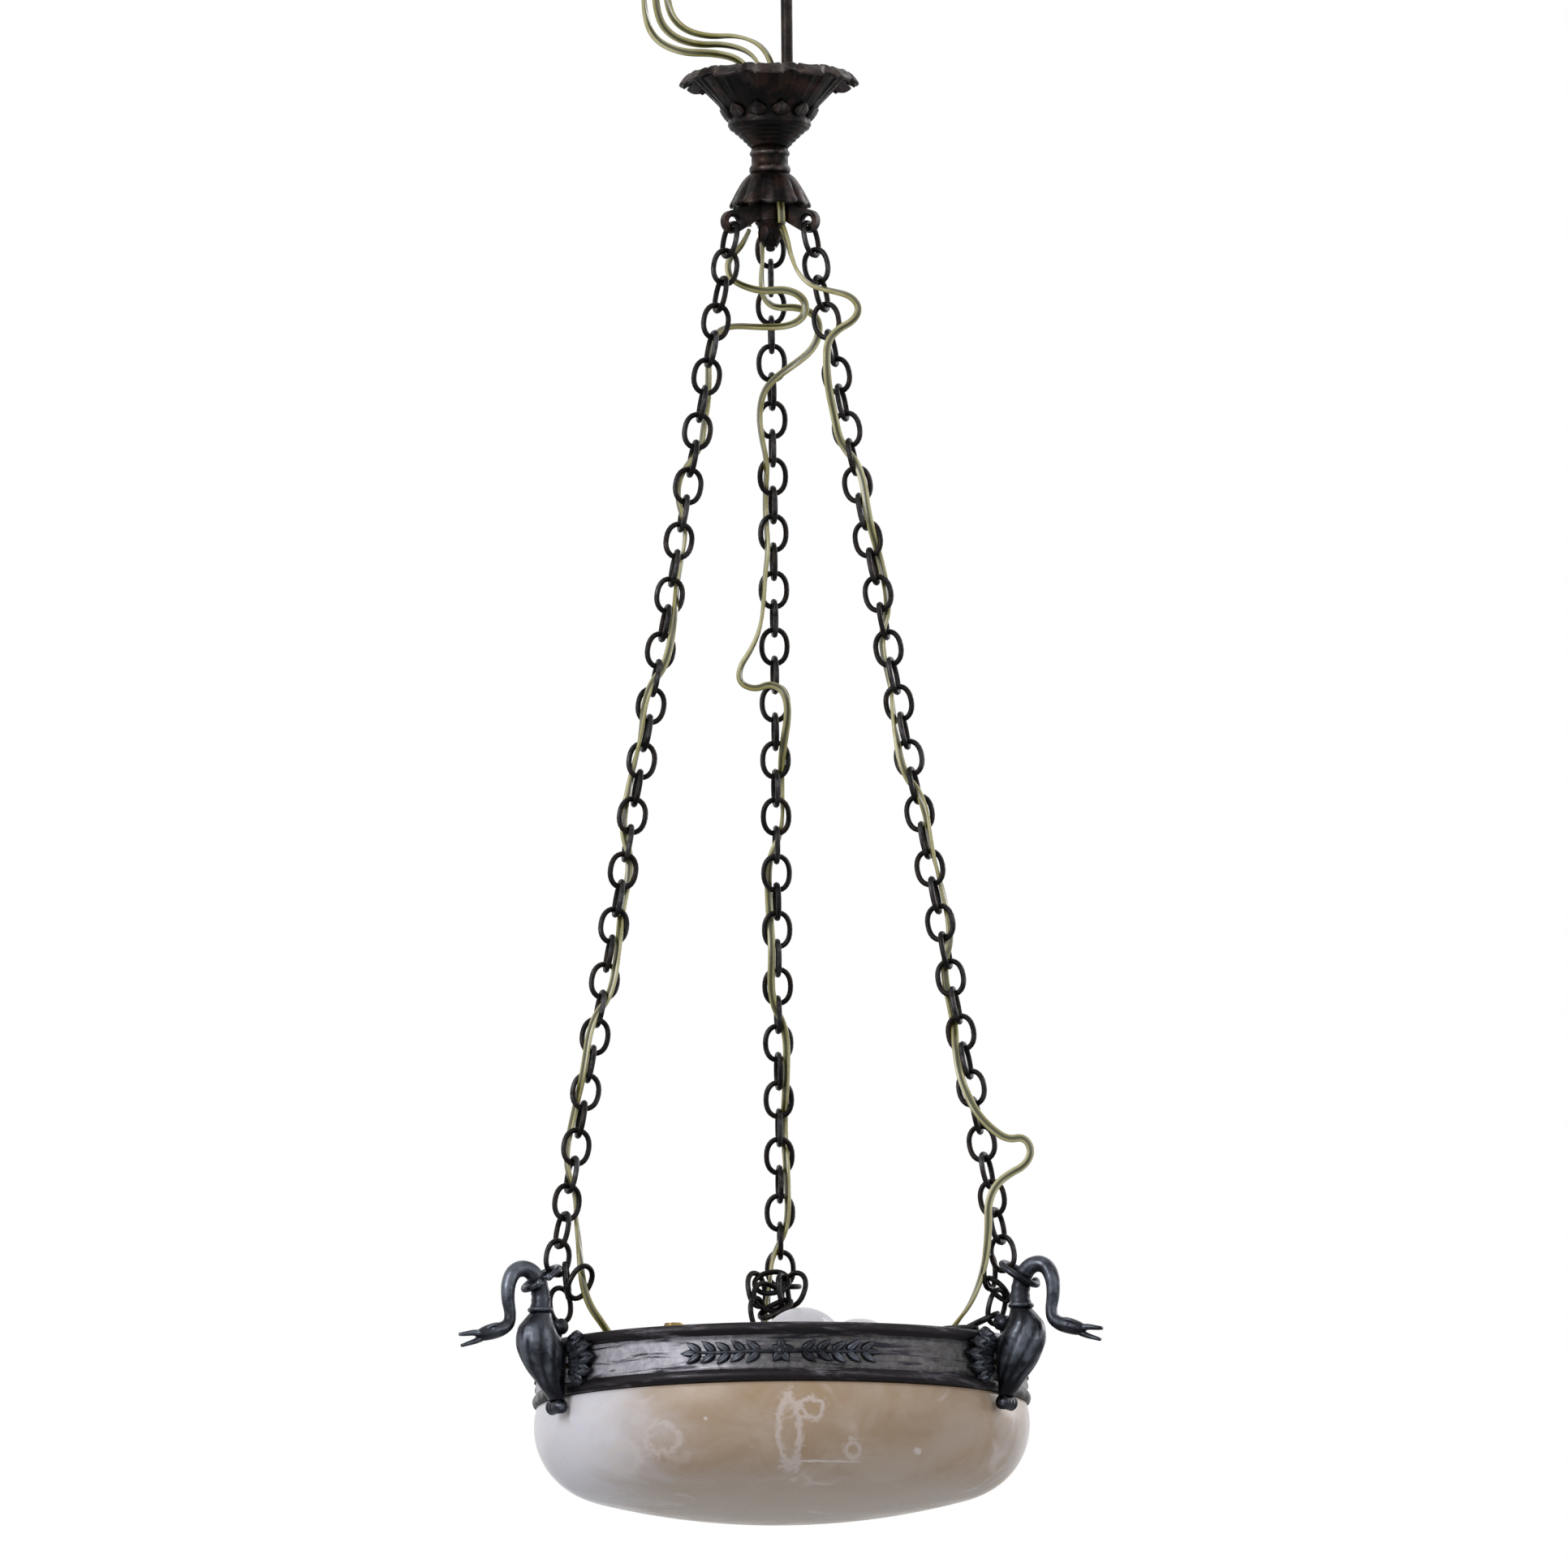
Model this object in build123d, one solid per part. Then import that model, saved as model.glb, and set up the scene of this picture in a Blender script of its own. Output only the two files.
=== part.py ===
from build123d import *
from math import atan2, cos, degrees, hypot, pi, radians, sin, sqrt, tan
import os

# An alabaster bowl pendant in the Empire manner.  A forged hook carries a bronze crown, neck and
# husk; three link chains run from the husk's lugs to the necks of three swans on a gallery ring,
# and the ring holds the alabaster bowl.  Millimetres, +Z up, origin where the ceiling hook bears.

os.makedirs("parts", exist_ok=True)

# ---------------------------------------------------------------- fits shared by several pieces
SEAT_GAP = 0.15            # between faces that bear on each other
LOOSE = 0.3                # between pieces that touch only loosely
HOLE_CLEARANCE = 0.2       # on the radius of every screw and rod hole

# ---------------------------------------------------------------- hook, crown, neck and husk
HOOK_WIRE = 8.0            # forged rod
HOOK_INNER_RADIUS = 8.6    # of the bend that hangs on the ceiling hook
HOOK_BEND_SWEEP = 205.0    # degrees of bend, from the shank over the top
CRANK_TOP = -84.0          # where the shank has reached its offset
CRANK_BOTTOM = -99.5       # where it leaves the axis
CRANK_RADIUS = 11.0

CROWN_TIP_RADIUS = 61.5
CROWN_TIP_LEVEL = -84.3
CROWN_CREST_RADIUS = 52.0
CROWN_CREST_LEVEL = -76.6
CROWN_WAIST_RADIUS = 29.0
CROWN_WAIST_LEVEL = -105.0
CROWN_CONE_HEIGHT = 14.5
CROWN_FOOT_LEVEL = -126.5
CROWN_PETALS = 12
CROWN_WALL = 2.4

NECK_RADIUS = 12.8
NECK_BEAD = 1.4            # how far the bead below the neck stands out
NECK_HEIGHT = 18.4
NECK_BEAD_HEIGHT = 5.6
NECK_BORE = 11.0

HUSK_HEIGHT = 24.0
HUSK_LIP_RADIUS = 28.6
HUSK_SHOULDER_RADIUS = 13.6
HUSK_FLUTES = 12
HUSK_WALL = 2.4

HUB_RADIUS = 10.5
HUB_HEIGHT = 16.0
LUG_RADIUS = 30.0          # axis to the middle of a lug's eye
LUG_DROP = 11.0            # husk lip to the eye
LUG_OUTER = 8.0
LUG_EYE = 3.6
LUG_THICKNESS = 6.0

FINIAL_HEIGHT = 21.0
FINIAL_RADIUS = 10.6

STRAP_WIDTH = 8.0          # cross bar that clamps the crown
STRAP_THICKNESS = 2.5
STRAP_EYE = 6.4            # radius of its middle, round the shank
STRAP_LENGTH = 44.0
STRAP_TURN = 55.0          # degrees from +X
NUT_ACROSS = 13.0
NUT_HEIGHT = 6.5

# ---------------------------------------------------------------- chains
WIRE = 4.0
LINK_LENGTH = 27.4         # outside
LINK_WIDTH = 21.8          # outside
LINKS = 38                 # lug to neck ring
WIRE_SIDES = 6
RING_WIRE = 5.0
RING_WIDTH = 28.0          # outside
RING_LENGTH = 32.8         # outside
RING_SLOPE = 34.3          # degrees down from the axis outward
RING_OPENING = 6.0
RING_PLAY = 0.6            # last link to neck ring

# ---------------------------------------------------------------- gallery ring and swans
SWAN_TURNS = {"left": 210.0, "right": 330.0, "back": 90.0}
LINK_TURNS = {"left": -18.0, "right": 16.0, "back": 8.0}     # how far each chain has twisted
CHAIN_FOOT_RADIUS = 177.0  # axis to the neck ring's inner bar
CHAIN_FOOT_HEIGHT = 87.2   # neck ring's inner bar above the gallery ring's lower edge

BAND_RADIUS = 168.5
BAND_WALL = 3.0
RING_HEIGHT = 40.0
MOULDING = 2.5             # how far the two mouldings stand out
MOULDING_HEIGHT = 8.0
FLANGE_RADIUS = 150.0      # inner edge of the flange over the bowl's rim
FLANGE_THICKNESS = 3.0

SWAN_SCREW = 4.0
SWAN_SCREW_HEAD = 9.0
SWAN_SCREW_HEIGHT = 20.0
SWAN_SCREW_LENGTH = 14.0
SWAN_CLEARANCE = 0.2       # swan and laurel mounts stand this far off the band
COLLAR_HEIGHT = 54.0       # where the neck is screwed into the breast
COLLAR_REACH = 189.5
COLLAR_RADIUS = 9.0

LAUREL_TURNS = {"right": 30.0, "left": 150.0, "front": 270.0}
LAUREL_SPAN = 48.4         # degrees of band from tip to tip
LAUREL_LEAVES = 5          # pairs on each side of the rosette
LAUREL_LEAF = 13.0
LAUREL_ROSETTE = 9.5
LAUREL_RELIEF = 3.2

# ---------------------------------------------------------------- alabaster bowl
BOWL_RADIUS = 170.0
BELLY_DROP = 14.0          # widest point below the gallery ring
BELLY_ARC = 50.0
BASE_SLOPE = 75.0          # degrees of belly arc before the base arc takes over
BOWL_WALL = 12.0
RIM_CLEARANCE = 0.7        # bowl's rim inside the band
RIM_SCREW = 5.0
RIM_SCREW_HEAD = 14.0
RIM_SCREW_HEAD_HEIGHT = 2.4
RIM_SCREW_LENGTH = 20.0
RIM_SCREW_REACH = 158.8
RIM_SCREWS = 3
RIM_SCREW_TURN = 242.6

# ---------------------------------------------------------------- lamp cluster
PLATE_RADIUS = 45.0
PLATE_THICKNESS = 3.0
FELT_THICKNESS = 2.0
HOLDER_SPREAD = 27.0       # axis to the foot of each lampholder
HOLDER_STANDOFF = 7.0
HOLDER_RADIUS = 19.0
HOLDER_LENGTH = 44.0
HOLDER_BORE = 14.2
HOLDER_FLOOR = 18.0
CAP_RADIUS = 13.2
CAP_LENGTH = 22.0
CAP_SEAT = 20.0            # foot of the holder to the foot of the cap
BULB_RADIUS = 30.0
BULB_REACH = 126.0         # foot of the holder to the top of the bulb
BRACKET_WIDTH = 12.0
BRACKET_THICKNESS = 2.0
LAMPS = {"back": (68.5, 8.0), "left": (188.5, 38.0), "right": (308.5, 38.0)}  # turn, tilt

# ---------------------------------------------------------------- flex and terminal block
FLEX = 4.0                 # round stand-in for the flat twin flex
BLOCK_LENGTH = 26.0
BLOCK_DEPTH = 14.0
BLOCK_HEIGHT = 16.0
BLOCK_REACH = 78.0         # axis to the middle of the block
BLOCK_LEVEL = -9.0
TERMINAL_PITCH = 8.0
TERMINAL_BORE = 2.4
TERMINAL_SCREW = 3.0

# ---------------------------------------------------------------- levels, from the top down
NECK_TOP = CROWN_FOOT_LEVEL - SEAT_GAP
NECK_FOOT = NECK_TOP - NECK_HEIGHT
HUSK_TOP = NECK_FOOT - SEAT_GAP
HUSK_LIP = HUSK_TOP - HUSK_HEIGHT
EYE_LEVEL = HUSK_LIP - LUG_DROP
HUB_FOOT = EYE_LEVEL + 2.0
HUB_TOP = HUB_FOOT + HUB_HEIGHT
FINIAL_TOP = HUB_FOOT - SEAT_GAP
FINIAL_TIP = FINIAL_TOP - FINIAL_HEIGHT
SHANK_FOOT = FINIAL_TOP - FINIAL_HEIGHT / 2

# Drawn wire is given flats, with the area of round wire, so that links seat flat on flat.
FLAT = sqrt(pi / (WIRE_SIDES * tan(pi / WIRE_SIDES)))
LINK_FLAT = WIRE / 2 * FLAT
RING_FLAT = RING_WIRE / 2 * FLAT
LINK_CROWN = LINK_LENGTH / 2 - LINK_FLAT       # middle of an end bar
LINK_INSIDE = LINK_CROWN - LINK_FLAT
PITCH = 2 * LINK_INSIDE - SEAT_GAP
LUG_SEAT = EYE_LEVEL - LUG_EYE + LINK_FLAT / cos(pi / WIRE_SIDES) + SEAT_GAP
CHAIN_LENGTH = LINK_CROWN + (LINKS - 1) * PITCH + LINK_INSIDE - RING_FLAT - RING_PLAY
CHAIN_SPREAD = CHAIN_FOOT_RADIUS - LUG_RADIUS
CHAIN_FOOT = LUG_SEAT - sqrt(CHAIN_LENGTH ** 2 - CHAIN_SPREAD ** 2)
RING_FOOT = CHAIN_FOOT - CHAIN_FOOT_HEIGHT
RING_TOP = RING_FOOT + RING_HEIGHT

BELLY_CENTRE = BOWL_RADIUS - BELLY_ARC
BELLY_LEVEL = RING_FOOT - BELLY_DROP
BASE_ARC = BELLY_CENTRE / cos(radians(BASE_SLOPE)) + BELLY_ARC
BASE_LEVEL = BELLY_LEVEL + (BASE_ARC - BELLY_ARC) * sin(radians(BASE_SLOPE))
BOWL_FLOOR = BASE_LEVEL - BASE_ARC + BOWL_WALL
RIM_RADIUS = BAND_RADIUS - BAND_WALL - RIM_CLEARANCE
RIM_TOP = RING_TOP - FLANGE_THICKNESS - LOOSE
LEDGE = RING_FOOT - LOOSE
PLATE_FOOT = BOWL_FLOOR + 2 * LOOSE + FELT_THICKNESS + 1.9
PLATE_TOP = PLATE_FOOT + PLATE_THICKNESS


def save(node, *solids):
    """Write one node: a single solid, or a group of identical ones."""
    body = solids[0] if len(solids) == 1 else Compound(children=list(solids))
    export_step(body, f"parts/{node}.step")


def turned(shape, turn):
    """A copy carried round the pendant's axis, from +X."""
    return Rot(0, 0, turn) * shape


def chords(curve, steps):
    """Points along a curve; a turned profile is given as the chords between them."""
    points = [curve @ (i / steps) for i in range(steps + 1)]
    return [(point.X, point.Y) for point in points]


def arc(centre, radius, start, end, steps):
    return chords(CenterArc(centre, radius, start, end - start), steps)


def spun(*runs):
    """A closed outline in (radius, level), from runs of points, turned about the axis."""
    outline = []
    for run in runs:
        for point in run:
            if not outline or hypot(point[0] - outline[-1][0], point[1] - outline[-1][1]) > 0.01:
                outline.append(point)
    return revolve(Plane.XZ * make_face(Polyline(*outline, close=True)), Axis.Z, 360)


def skinned(rings):
    """A solid with flat faces through rings of corners, closed by its first and last ring."""
    faces = [Face(Wire.make_polygon(ring, close=True)) for ring in (rings[0], rings[-1])]
    for ring, following in zip(rings, rings[1:]):
        for i, corner in enumerate(ring):
            other = (i + 1) % len(ring)
            edge = [corner, ring[other], following[other], following[i]]
            normal = (edge[1] - edge[0]).cross(edge[2] - edge[0]).normalized()
            if abs(normal.dot(edge[3] - edge[0])) < 1e-6:
                faces.append(Face(Wire.make_polygon(edge, close=True)))
            else:
                faces.append(Face(Wire.make_polygon([edge[0], edge[1], edge[2]], close=True)))
                faces.append(Face(Wire.make_polygon([edge[0], edge[2], edge[3]], close=True)))
    return Solid(Shell(faces))


def corner_ring(plane, depth, width, sides):
    """Corners of an oval with flat sides that has a true oval's area."""
    grow = sqrt(2 * pi / (sides * sin(2 * pi / sides)))
    turns = [2 * pi * (i + 0.5) / sides for i in range(sides)]
    return [
        plane.origin + plane.x_dir * (grow * depth * cos(turn))
        + plane.y_dir * (grow * width * sin(turn)) for turn in turns
    ]


def pin(start, end, radius):
    """A round bar from one point to another."""
    start, end = Vector(*start), Vector(*end)
    return extrude(Plane(origin=start, z_dir=end - start) * Circle(radius), (end - start).length)


def wire_loop(length, width, flat):
    """A link of drawn wire in the XZ plane, long along Z: eight straight bars with flats."""
    reach, half = length / 2 - flat, width / 2 - flat
    bend = half * (1 - tan(pi / 8))
    corners = [
        Vector(half, 0, reach - bend), Vector(half - bend, 0, reach),
        Vector(bend - half, 0, reach), Vector(-half, 0, reach - bend),
        Vector(-half, 0, bend - reach), Vector(bend - half, 0, -reach),
        Vector(half - bend, 0, -reach), Vector(half, 0, bend - reach),
    ]
    rings = []
    for i, corner in enumerate(corners):
        before = (corner - corners[i - 1]).normalized()
        after = (corners[(i + 1) % 8] - corner).normalized()
        along = (before + after).normalized()
        outward = Vector(along.Z, 0, -along.X)
        stretch = 1 / along.dot(after)
        ring = []
        for side in range(WIRE_SIDES):
            angle = 2 * pi * (side + 0.5) / WIRE_SIDES
            radius = flat / cos(pi / WIRE_SIDES)
            across = outward * (radius * cos(angle) * stretch)
            ring.append(corner + across + Vector(0, radius * sin(angle), 0))
        rings.append(ring)
    faces = []
    for i, ring in enumerate(rings):
        following = rings[(i + 1) % 8]
        for side in range(WIRE_SIDES):
            other = (side + 1) % WIRE_SIDES
            edge = [ring[side], ring[other], following[other], following[side]]
            faces.append(Face(Wire.make_polygon(edge, close=True)))
    return Solid(Shell(faces))


# ---------------------------------------------------------------- hook, crown and husk
def hanging_hook():
    """Shank up the axis, cranked to one side, and bent over to hang centrally."""
    offset = HOOK_INNER_RADIUS + HOOK_WIRE / 2
    bend_level = -HOOK_INNER_RADIUS
    shank = FilletPolyline(
        (0, SHANK_FOOT), (0, CRANK_BOTTOM), (offset, CRANK_TOP), (offset, bend_level),
        radius=CRANK_RADIUS,
    )
    bend = CenterArc((0, bend_level), offset, 0, HOOK_BEND_SWEEP)
    path = Plane.XZ * Wire(shank.edges() + bend.edges())
    section = Plane(origin=path @ 0, z_dir=path % 0) * Circle(HOOK_WIRE / 2)
    return sweep(section, path)


def canopy_crown():
    """A bell that flares to drooping petal tips, notched and grooved between the petals."""
    wall = CROWN_WALL
    cone = CROWN_FOOT_LEVEL + CROWN_CONE_HEIGHT
    foot = (NECK_RADIUS + 0.6, CROWN_FOOT_LEVEL)
    fold = (CROWN_WAIST_RADIUS - 0.5, cone)
    waist = (CROWN_WAIST_RADIUS, CROWN_WAIST_LEVEL)
    crest = (CROWN_CREST_RADIUS, CROWN_CREST_LEVEL - wall)
    tip = (CROWN_TIP_RADIUS - 1, CROWN_TIP_LEVEL)
    upper_tip = (CROWN_TIP_RADIUS + 0.6, CROWN_TIP_LEVEL + wall / 2)
    upper_crest = (CROWN_CREST_RADIUS, CROWN_CREST_LEVEL)
    upper_waist = (CROWN_WAIST_RADIUS - wall, CROWN_WAIST_LEVEL + 1)
    upper_fold = (CROWN_WAIST_RADIUS - wall - 0.5, cone + 1)
    well = (NECK_BORE, CROWN_FOOT_LEVEL + 5)
    crown = spun(
        [foot, fold],
        chords(ThreePointArc(waist, (38.6, -92.6), crest), 4),
        chords(ThreePointArc(crest, (57.0, -80.4), tip), 2),
        chords(ThreePointArc(upper_tip, (58.0, -78.0), upper_crest), 2),
        chords(ThreePointArc(upper_crest, (37.2, -90.4), upper_waist), 4),
        [upper_fold, well, (NECK_BORE, CROWN_FOOT_LEVEL)],
    )
    spacing = 2 * pi * CROWN_TIP_RADIUS / CROWN_PETALS
    notch = Pos(CROWN_TIP_RADIUS + 2, 0, CROWN_TIP_LEVEL) * Cylinder(spacing * 0.24, 6 * wall)
    groove = pin(
        (CROWN_WAIST_RADIUS + 1.6, 0, CROWN_WAIST_LEVEL - 1),
        (CROWN_TIP_RADIUS - 5, 0, CROWN_CREST_LEVEL - wall - 1.6), 1.8,
    )
    for petal in range(CROWN_PETALS):
        crown -= turned(notch, 360 / CROWN_PETALS * (petal + 0.5))
        crown -= turned(groove, 360 / CROWN_PETALS * (petal + 0.5))
    return crown


CONE_RISE = (CROWN_CONE_HEIGHT - 4) / (CROWN_WAIST_RADIUS - CROWN_WALL - 0.5 - NECK_BORE)
STRAP_FOOT = CROWN_FOOT_LEVEL + 5 + (hypot(STRAP_LENGTH, STRAP_WIDTH) / 2 + 0.3 - NECK_BORE) * (
    CONE_RISE)


def crown_strap():
    """Cross bar that bears on the crown's inner cone, with the flexes either side of it."""
    middle = STRAP_FOOT + STRAP_THICKNESS / 2
    bar = Pos(0, 0, middle) * Box(STRAP_LENGTH, STRAP_WIDTH, STRAP_THICKNESS)
    bar += Pos(0, 0, middle) * Cylinder(STRAP_EYE, STRAP_THICKNESS)
    bar -= Pos(0, 0, middle) * Cylinder(HOOK_WIRE / 2 + HOLE_CLEARANCE, 2 * STRAP_THICKNESS)
    return turned(bar, STRAP_TURN)


def crown_nut():
    foot = Pos(0, 0, STRAP_FOOT + STRAP_THICKNESS + SEAT_GAP)
    nut = foot * extrude(RegularPolygon(NUT_ACROSS / 2, 6, major_radius=False), NUT_HEIGHT)
    return nut - foot * Cylinder(HOOK_WIRE / 2 + HOLE_CLEARANCE, 3 * NUT_HEIGHT)


def neck_tube():
    bead = NECK_FOOT + NECK_BEAD_HEIGHT
    top, low = (NECK_RADIUS, NECK_TOP), (NECK_RADIUS, bead)
    foot = (NECK_RADIUS, NECK_FOOT)
    belly = (NECK_RADIUS + NECK_BEAD, NECK_FOOT + NECK_BEAD_HEIGHT / 2)
    bore_foot, bore_top = (NECK_BORE, NECK_FOOT), (NECK_BORE, NECK_TOP)
    return spun([bore_foot, bore_top, top], chords(ThreePointArc(low, belly, foot), 4))


def husk_bell():
    """A bell-shaped husk, fluted down to its lip."""
    shoulder = (HUSK_SHOULDER_RADIUS, HUSK_TOP)
    lip = (HUSK_LIP_RADIUS, HUSK_LIP + 2)
    inner_lip = (HUSK_LIP_RADIUS - HUSK_WALL, HUSK_LIP)
    inner_top = (HUSK_SHOULDER_RADIUS - 1, HUSK_TOP - 3)
    bore_foot, bore_top = (NECK_BORE - 0.5, HUSK_TOP - 3), (NECK_BORE - 0.5, HUSK_TOP)
    husk = spun(
        chords(ThreePointArc(shoulder, (23.0, HUSK_TOP - 11.2), lip), 4),
        chords(ThreePointArc(inner_lip, (20.9, HUSK_TOP - 12.4), inner_top), 4),
        [bore_foot, bore_top],
    )
    fall = Vector(HUSK_LIP_RADIUS - HUSK_SHOULDER_RADIUS + 3, 0, -HUSK_HEIGHT)
    course = Plane(
        origin=(HUSK_SHOULDER_RADIUS - 1, 0, HUSK_TOP + 5), x_dir=(0, 1, 0), z_dir=fall)
    flute = extrude(course * Pos(0, 3.2) * Rot(0, 0, 45) * Rectangle(3.4, 3.4), 1.6 * HUSK_HEIGHT)
    for i in range(HUSK_FLUTES):
        husk -= turned(flute, 360 / HUSK_FLUTES * (i + 0.5))
    return husk


def lug_hub():
    """Boss on the shank with three flat arms, each with an eye for a chain."""
    hub = Pos(0, 0, (HUB_TOP + HUB_FOOT) / 2) * Cylinder(HUB_RADIUS, HUB_HEIGHT)
    reach, drop = LUG_OUTER * cos(radians(60)), LUG_OUTER * sin(radians(60))
    web = make_face(Polyline(
        (2, HUB_FOOT + 0.5), (2, HUB_TOP - 4), (HUB_RADIUS, HUB_TOP - 4),
        (LUG_RADIUS + reach, EYE_LEVEL + drop), (LUG_RADIUS - reach, EYE_LEVEL - drop),
        (HUB_RADIUS, HUB_FOOT + 0.5), close=True,
    ))
    arm = web + Pos(LUG_RADIUS, EYE_LEVEL) * Circle(LUG_OUTER)
    arm -= Pos(LUG_RADIUS, EYE_LEVEL) * Circle(LUG_EYE)
    arm = extrude(Plane.XZ * arm, LUG_THICKNESS / 2, both=True)
    sides = LUG_THICKNESS / 2
    for side in (-1, 1):
        flare = Plane(origin=(LUG_RADIUS, side * (sides + 0.01), EYE_LEVEL), z_dir=(0, -side, 0))
        arm -= extrude(flare * Circle(LUG_EYE + 1.6), 1.6, taper=45)
    for turn in SWAN_TURNS.values():
        hub += turned(arm, turn)
    return hub - Pos(0, 0, HUB_FOOT) * Cylinder(HOOK_WIRE / 2 + HOLE_CLEARANCE, 4 * HUB_HEIGHT)


def finial():
    """Leafy nut that closes the hub from below."""
    top, tip = (FINIAL_RADIUS, FINIAL_TOP), (0, FINIAL_TIP)
    waist = (FINIAL_RADIUS * 0.78, FINIAL_TOP - FINIAL_HEIGHT * 0.26)
    knop = (FINIAL_RADIUS * 0.30, FINIAL_TIP + FINIAL_HEIGHT * 0.17)
    belly = ThreePointArc(
        waist, (FINIAL_RADIUS * 0.84, FINIAL_TOP - FINIAL_HEIGHT * 0.52), knop)
    nut = spun([top], chords(belly, 4), [tip, (0, FINIAL_TOP)])
    bore = HOOK_WIRE / 2 + HOLE_CLEARANCE
    return nut - pin((0, 0, FINIAL_TOP + 1), (0, 0, SHANK_FOOT - LOOSE), bore)


# ---------------------------------------------------------------- chains
def chain_direction(turn):
    lean = atan2(CHAIN_SPREAD, LUG_SEAT - CHAIN_FOOT)
    out = Vector(cos(radians(turn)), sin(radians(turn)), 0)
    return out * sin(lean) - Vector(0, 0, cos(lean))


def chain_point(turn, down):
    """A point on a chain's line, measured down from the lug's seat."""
    start = Vector(LUG_RADIUS, 0, 0).rotate(Axis.Z, turn) + Vector(0, 0, LUG_SEAT)
    return start + chain_direction(turn) * down


def placed_link(link, centre, down, across):
    """A link with its length along down and its width as near across as that allows."""
    across = across - down * across.dot(down)
    return Plane(origin=centre, x_dir=across, z_dir=down).location * link


def chain_link(side, number):
    """Link of a chain, counted from the lug, a quarter turn from the one above."""
    turn = SWAN_TURNS[side]
    down = chain_direction(turn)
    ease = min(1.0, number / 5, (LINKS - 1 - number) / 5)
    sway = 4 * sin(1.3 * number + turn) * ease
    spin = 90 * (number + 1) + LINK_TURNS[side] * ease + sway
    across = Vector(cos(radians(turn)), sin(radians(turn)), 0)
    across = (across - down * across.dot(down)).normalized()
    across = across.rotate(Axis((0, 0, 0), (down.X, down.Y, down.Z)), -spin)
    return placed_link(LINK, chain_point(turn, LINK_CROWN + number * PITCH), down, across)


LINK = wire_loop(LINK_LENGTH, LINK_WIDTH, LINK_FLAT)


def neck_ring():
    """Open ring round a swan's neck, at +X: its inner bar carries the chain."""
    slope = radians(RING_SLOPE)
    down = Vector(cos(slope), 0, -sin(slope))
    loop = wire_loop(RING_LENGTH, RING_WIDTH, RING_FLAT)
    centre = Vector(CHAIN_FOOT_RADIUS, 0, CHAIN_FOOT) + down * (RING_LENGTH / 2 - RING_FLAT)
    loop = placed_link(loop, centre, down, Vector(0, 1, 0))
    mouth = centre + down * 5 + Vector(0, RING_WIDTH / 2 - RING_FLAT, 0)
    tool = Plane(origin=mouth, x_dir=Vector(0, 1, 0), z_dir=down).location
    return loop - tool * Box(4 * RING_WIRE, 4 * RING_WIRE, RING_OPENING)


# ---------------------------------------------------------------- gallery ring and bowl
def gallery_ring():
    """Band with a moulding along each edge and a flange over the bowl's rim."""
    low, high = RING_FOOT + MOULDING_HEIGHT, RING_TOP - MOULDING_HEIGHT
    inner = BAND_RADIUS - BAND_WALL
    bulge = BAND_RADIUS + MOULDING
    foot, foot_top = (BAND_RADIUS + 0.8, RING_FOOT), (BAND_RADIUS, low)
    head_foot, head = (BAND_RADIUS, high), (BAND_RADIUS + 0.8, RING_TOP)
    under = RING_TOP - FLANGE_THICKNESS
    lower = ThreePointArc(foot, (bulge, RING_FOOT + MOULDING_HEIGHT / 2), foot_top)
    upper = ThreePointArc(head_foot, (bulge, RING_TOP - MOULDING_HEIGHT / 2), head)
    ring = spun(
        chords(lower, 4), chords(upper, 4),
        [(FLANGE_RADIUS, RING_TOP), (FLANGE_RADIUS, under), (inner, under), (inner, RING_FOOT)],
    )
    level = RING_FOOT + SWAN_SCREW_HEIGHT
    for turn in SWAN_TURNS.values():
        ring -= turned(swan_screw(level, HOLE_CLEARANCE), turn)
    hole = Pos(RIM_SCREW_REACH, 0, RING_TOP) * Cylinder(RIM_SCREW / 2 + HOLE_CLEARANCE, 20)
    for i in range(RIM_SCREWS):
        ring -= turned(hole, RIM_SCREW_TURN + 360 / RIM_SCREWS * i)
    return ring


def alabaster_bowl():
    """Turned from one block: straight rim, ledge under the band, round belly, shallow base."""
    centre, base = (BELLY_CENTRE, BELLY_LEVEL), (0, BASE_LEVEL)
    start = degrees(atan2(LEDGE - BELLY_LEVEL, sqrt(BELLY_ARC ** 2 - (LEDGE - BELLY_LEVEL) ** 2)))
    inner_arc, inner_base = BELLY_ARC - BOWL_WALL, BASE_ARC - BOWL_WALL
    bowl = spun(
        arc(base, BASE_ARC, -90, -BASE_SLOPE, 3),
        arc(centre, BELLY_ARC, -BASE_SLOPE, 0, 5),
        arc(centre, BELLY_ARC, 0, start, 1),
        [(RIM_RADIUS, LEDGE), (RIM_RADIUS, RIM_TOP), (RIM_RADIUS - BOWL_WALL, RIM_TOP)],
        arc(centre, inner_arc, 20, -BASE_SLOPE, 5),
        arc(base, inner_base, -BASE_SLOPE, -90, 3),
    )
    depth = RIM_SCREW_LENGTH - FLANGE_THICKNESS - LOOSE + 1
    hole = pin(
        (RIM_SCREW_REACH, 0, RIM_TOP + 1), (RIM_SCREW_REACH, 0, RIM_TOP - depth),
        RIM_SCREW / 2 + HOLE_CLEARANCE,
    )
    for i in range(RIM_SCREWS):
        bowl -= turned(hole, RIM_SCREW_TURN + 360 / RIM_SCREWS * i)
    return bowl


def rim_screw():
    """Pan-head screw through the flange into the bowl's rim."""
    seat = RING_TOP + SEAT_GAP
    shank = pin((0, 0, seat + 0.5), (0, 0, seat - RIM_SCREW_LENGTH), RIM_SCREW / 2)
    head = Pos(0, 0, seat) * extrude(Circle(RIM_SCREW_HEAD / 2), RIM_SCREW_HEAD_HEIGHT, taper=20)
    slot = Pos(0, 0, seat + RIM_SCREW_HEAD_HEIGHT) * Box(RIM_SCREW_HEAD, 1.6, 2)
    return Pos(RIM_SCREW_REACH, 0, 0) * (shank + head - slot)


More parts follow.
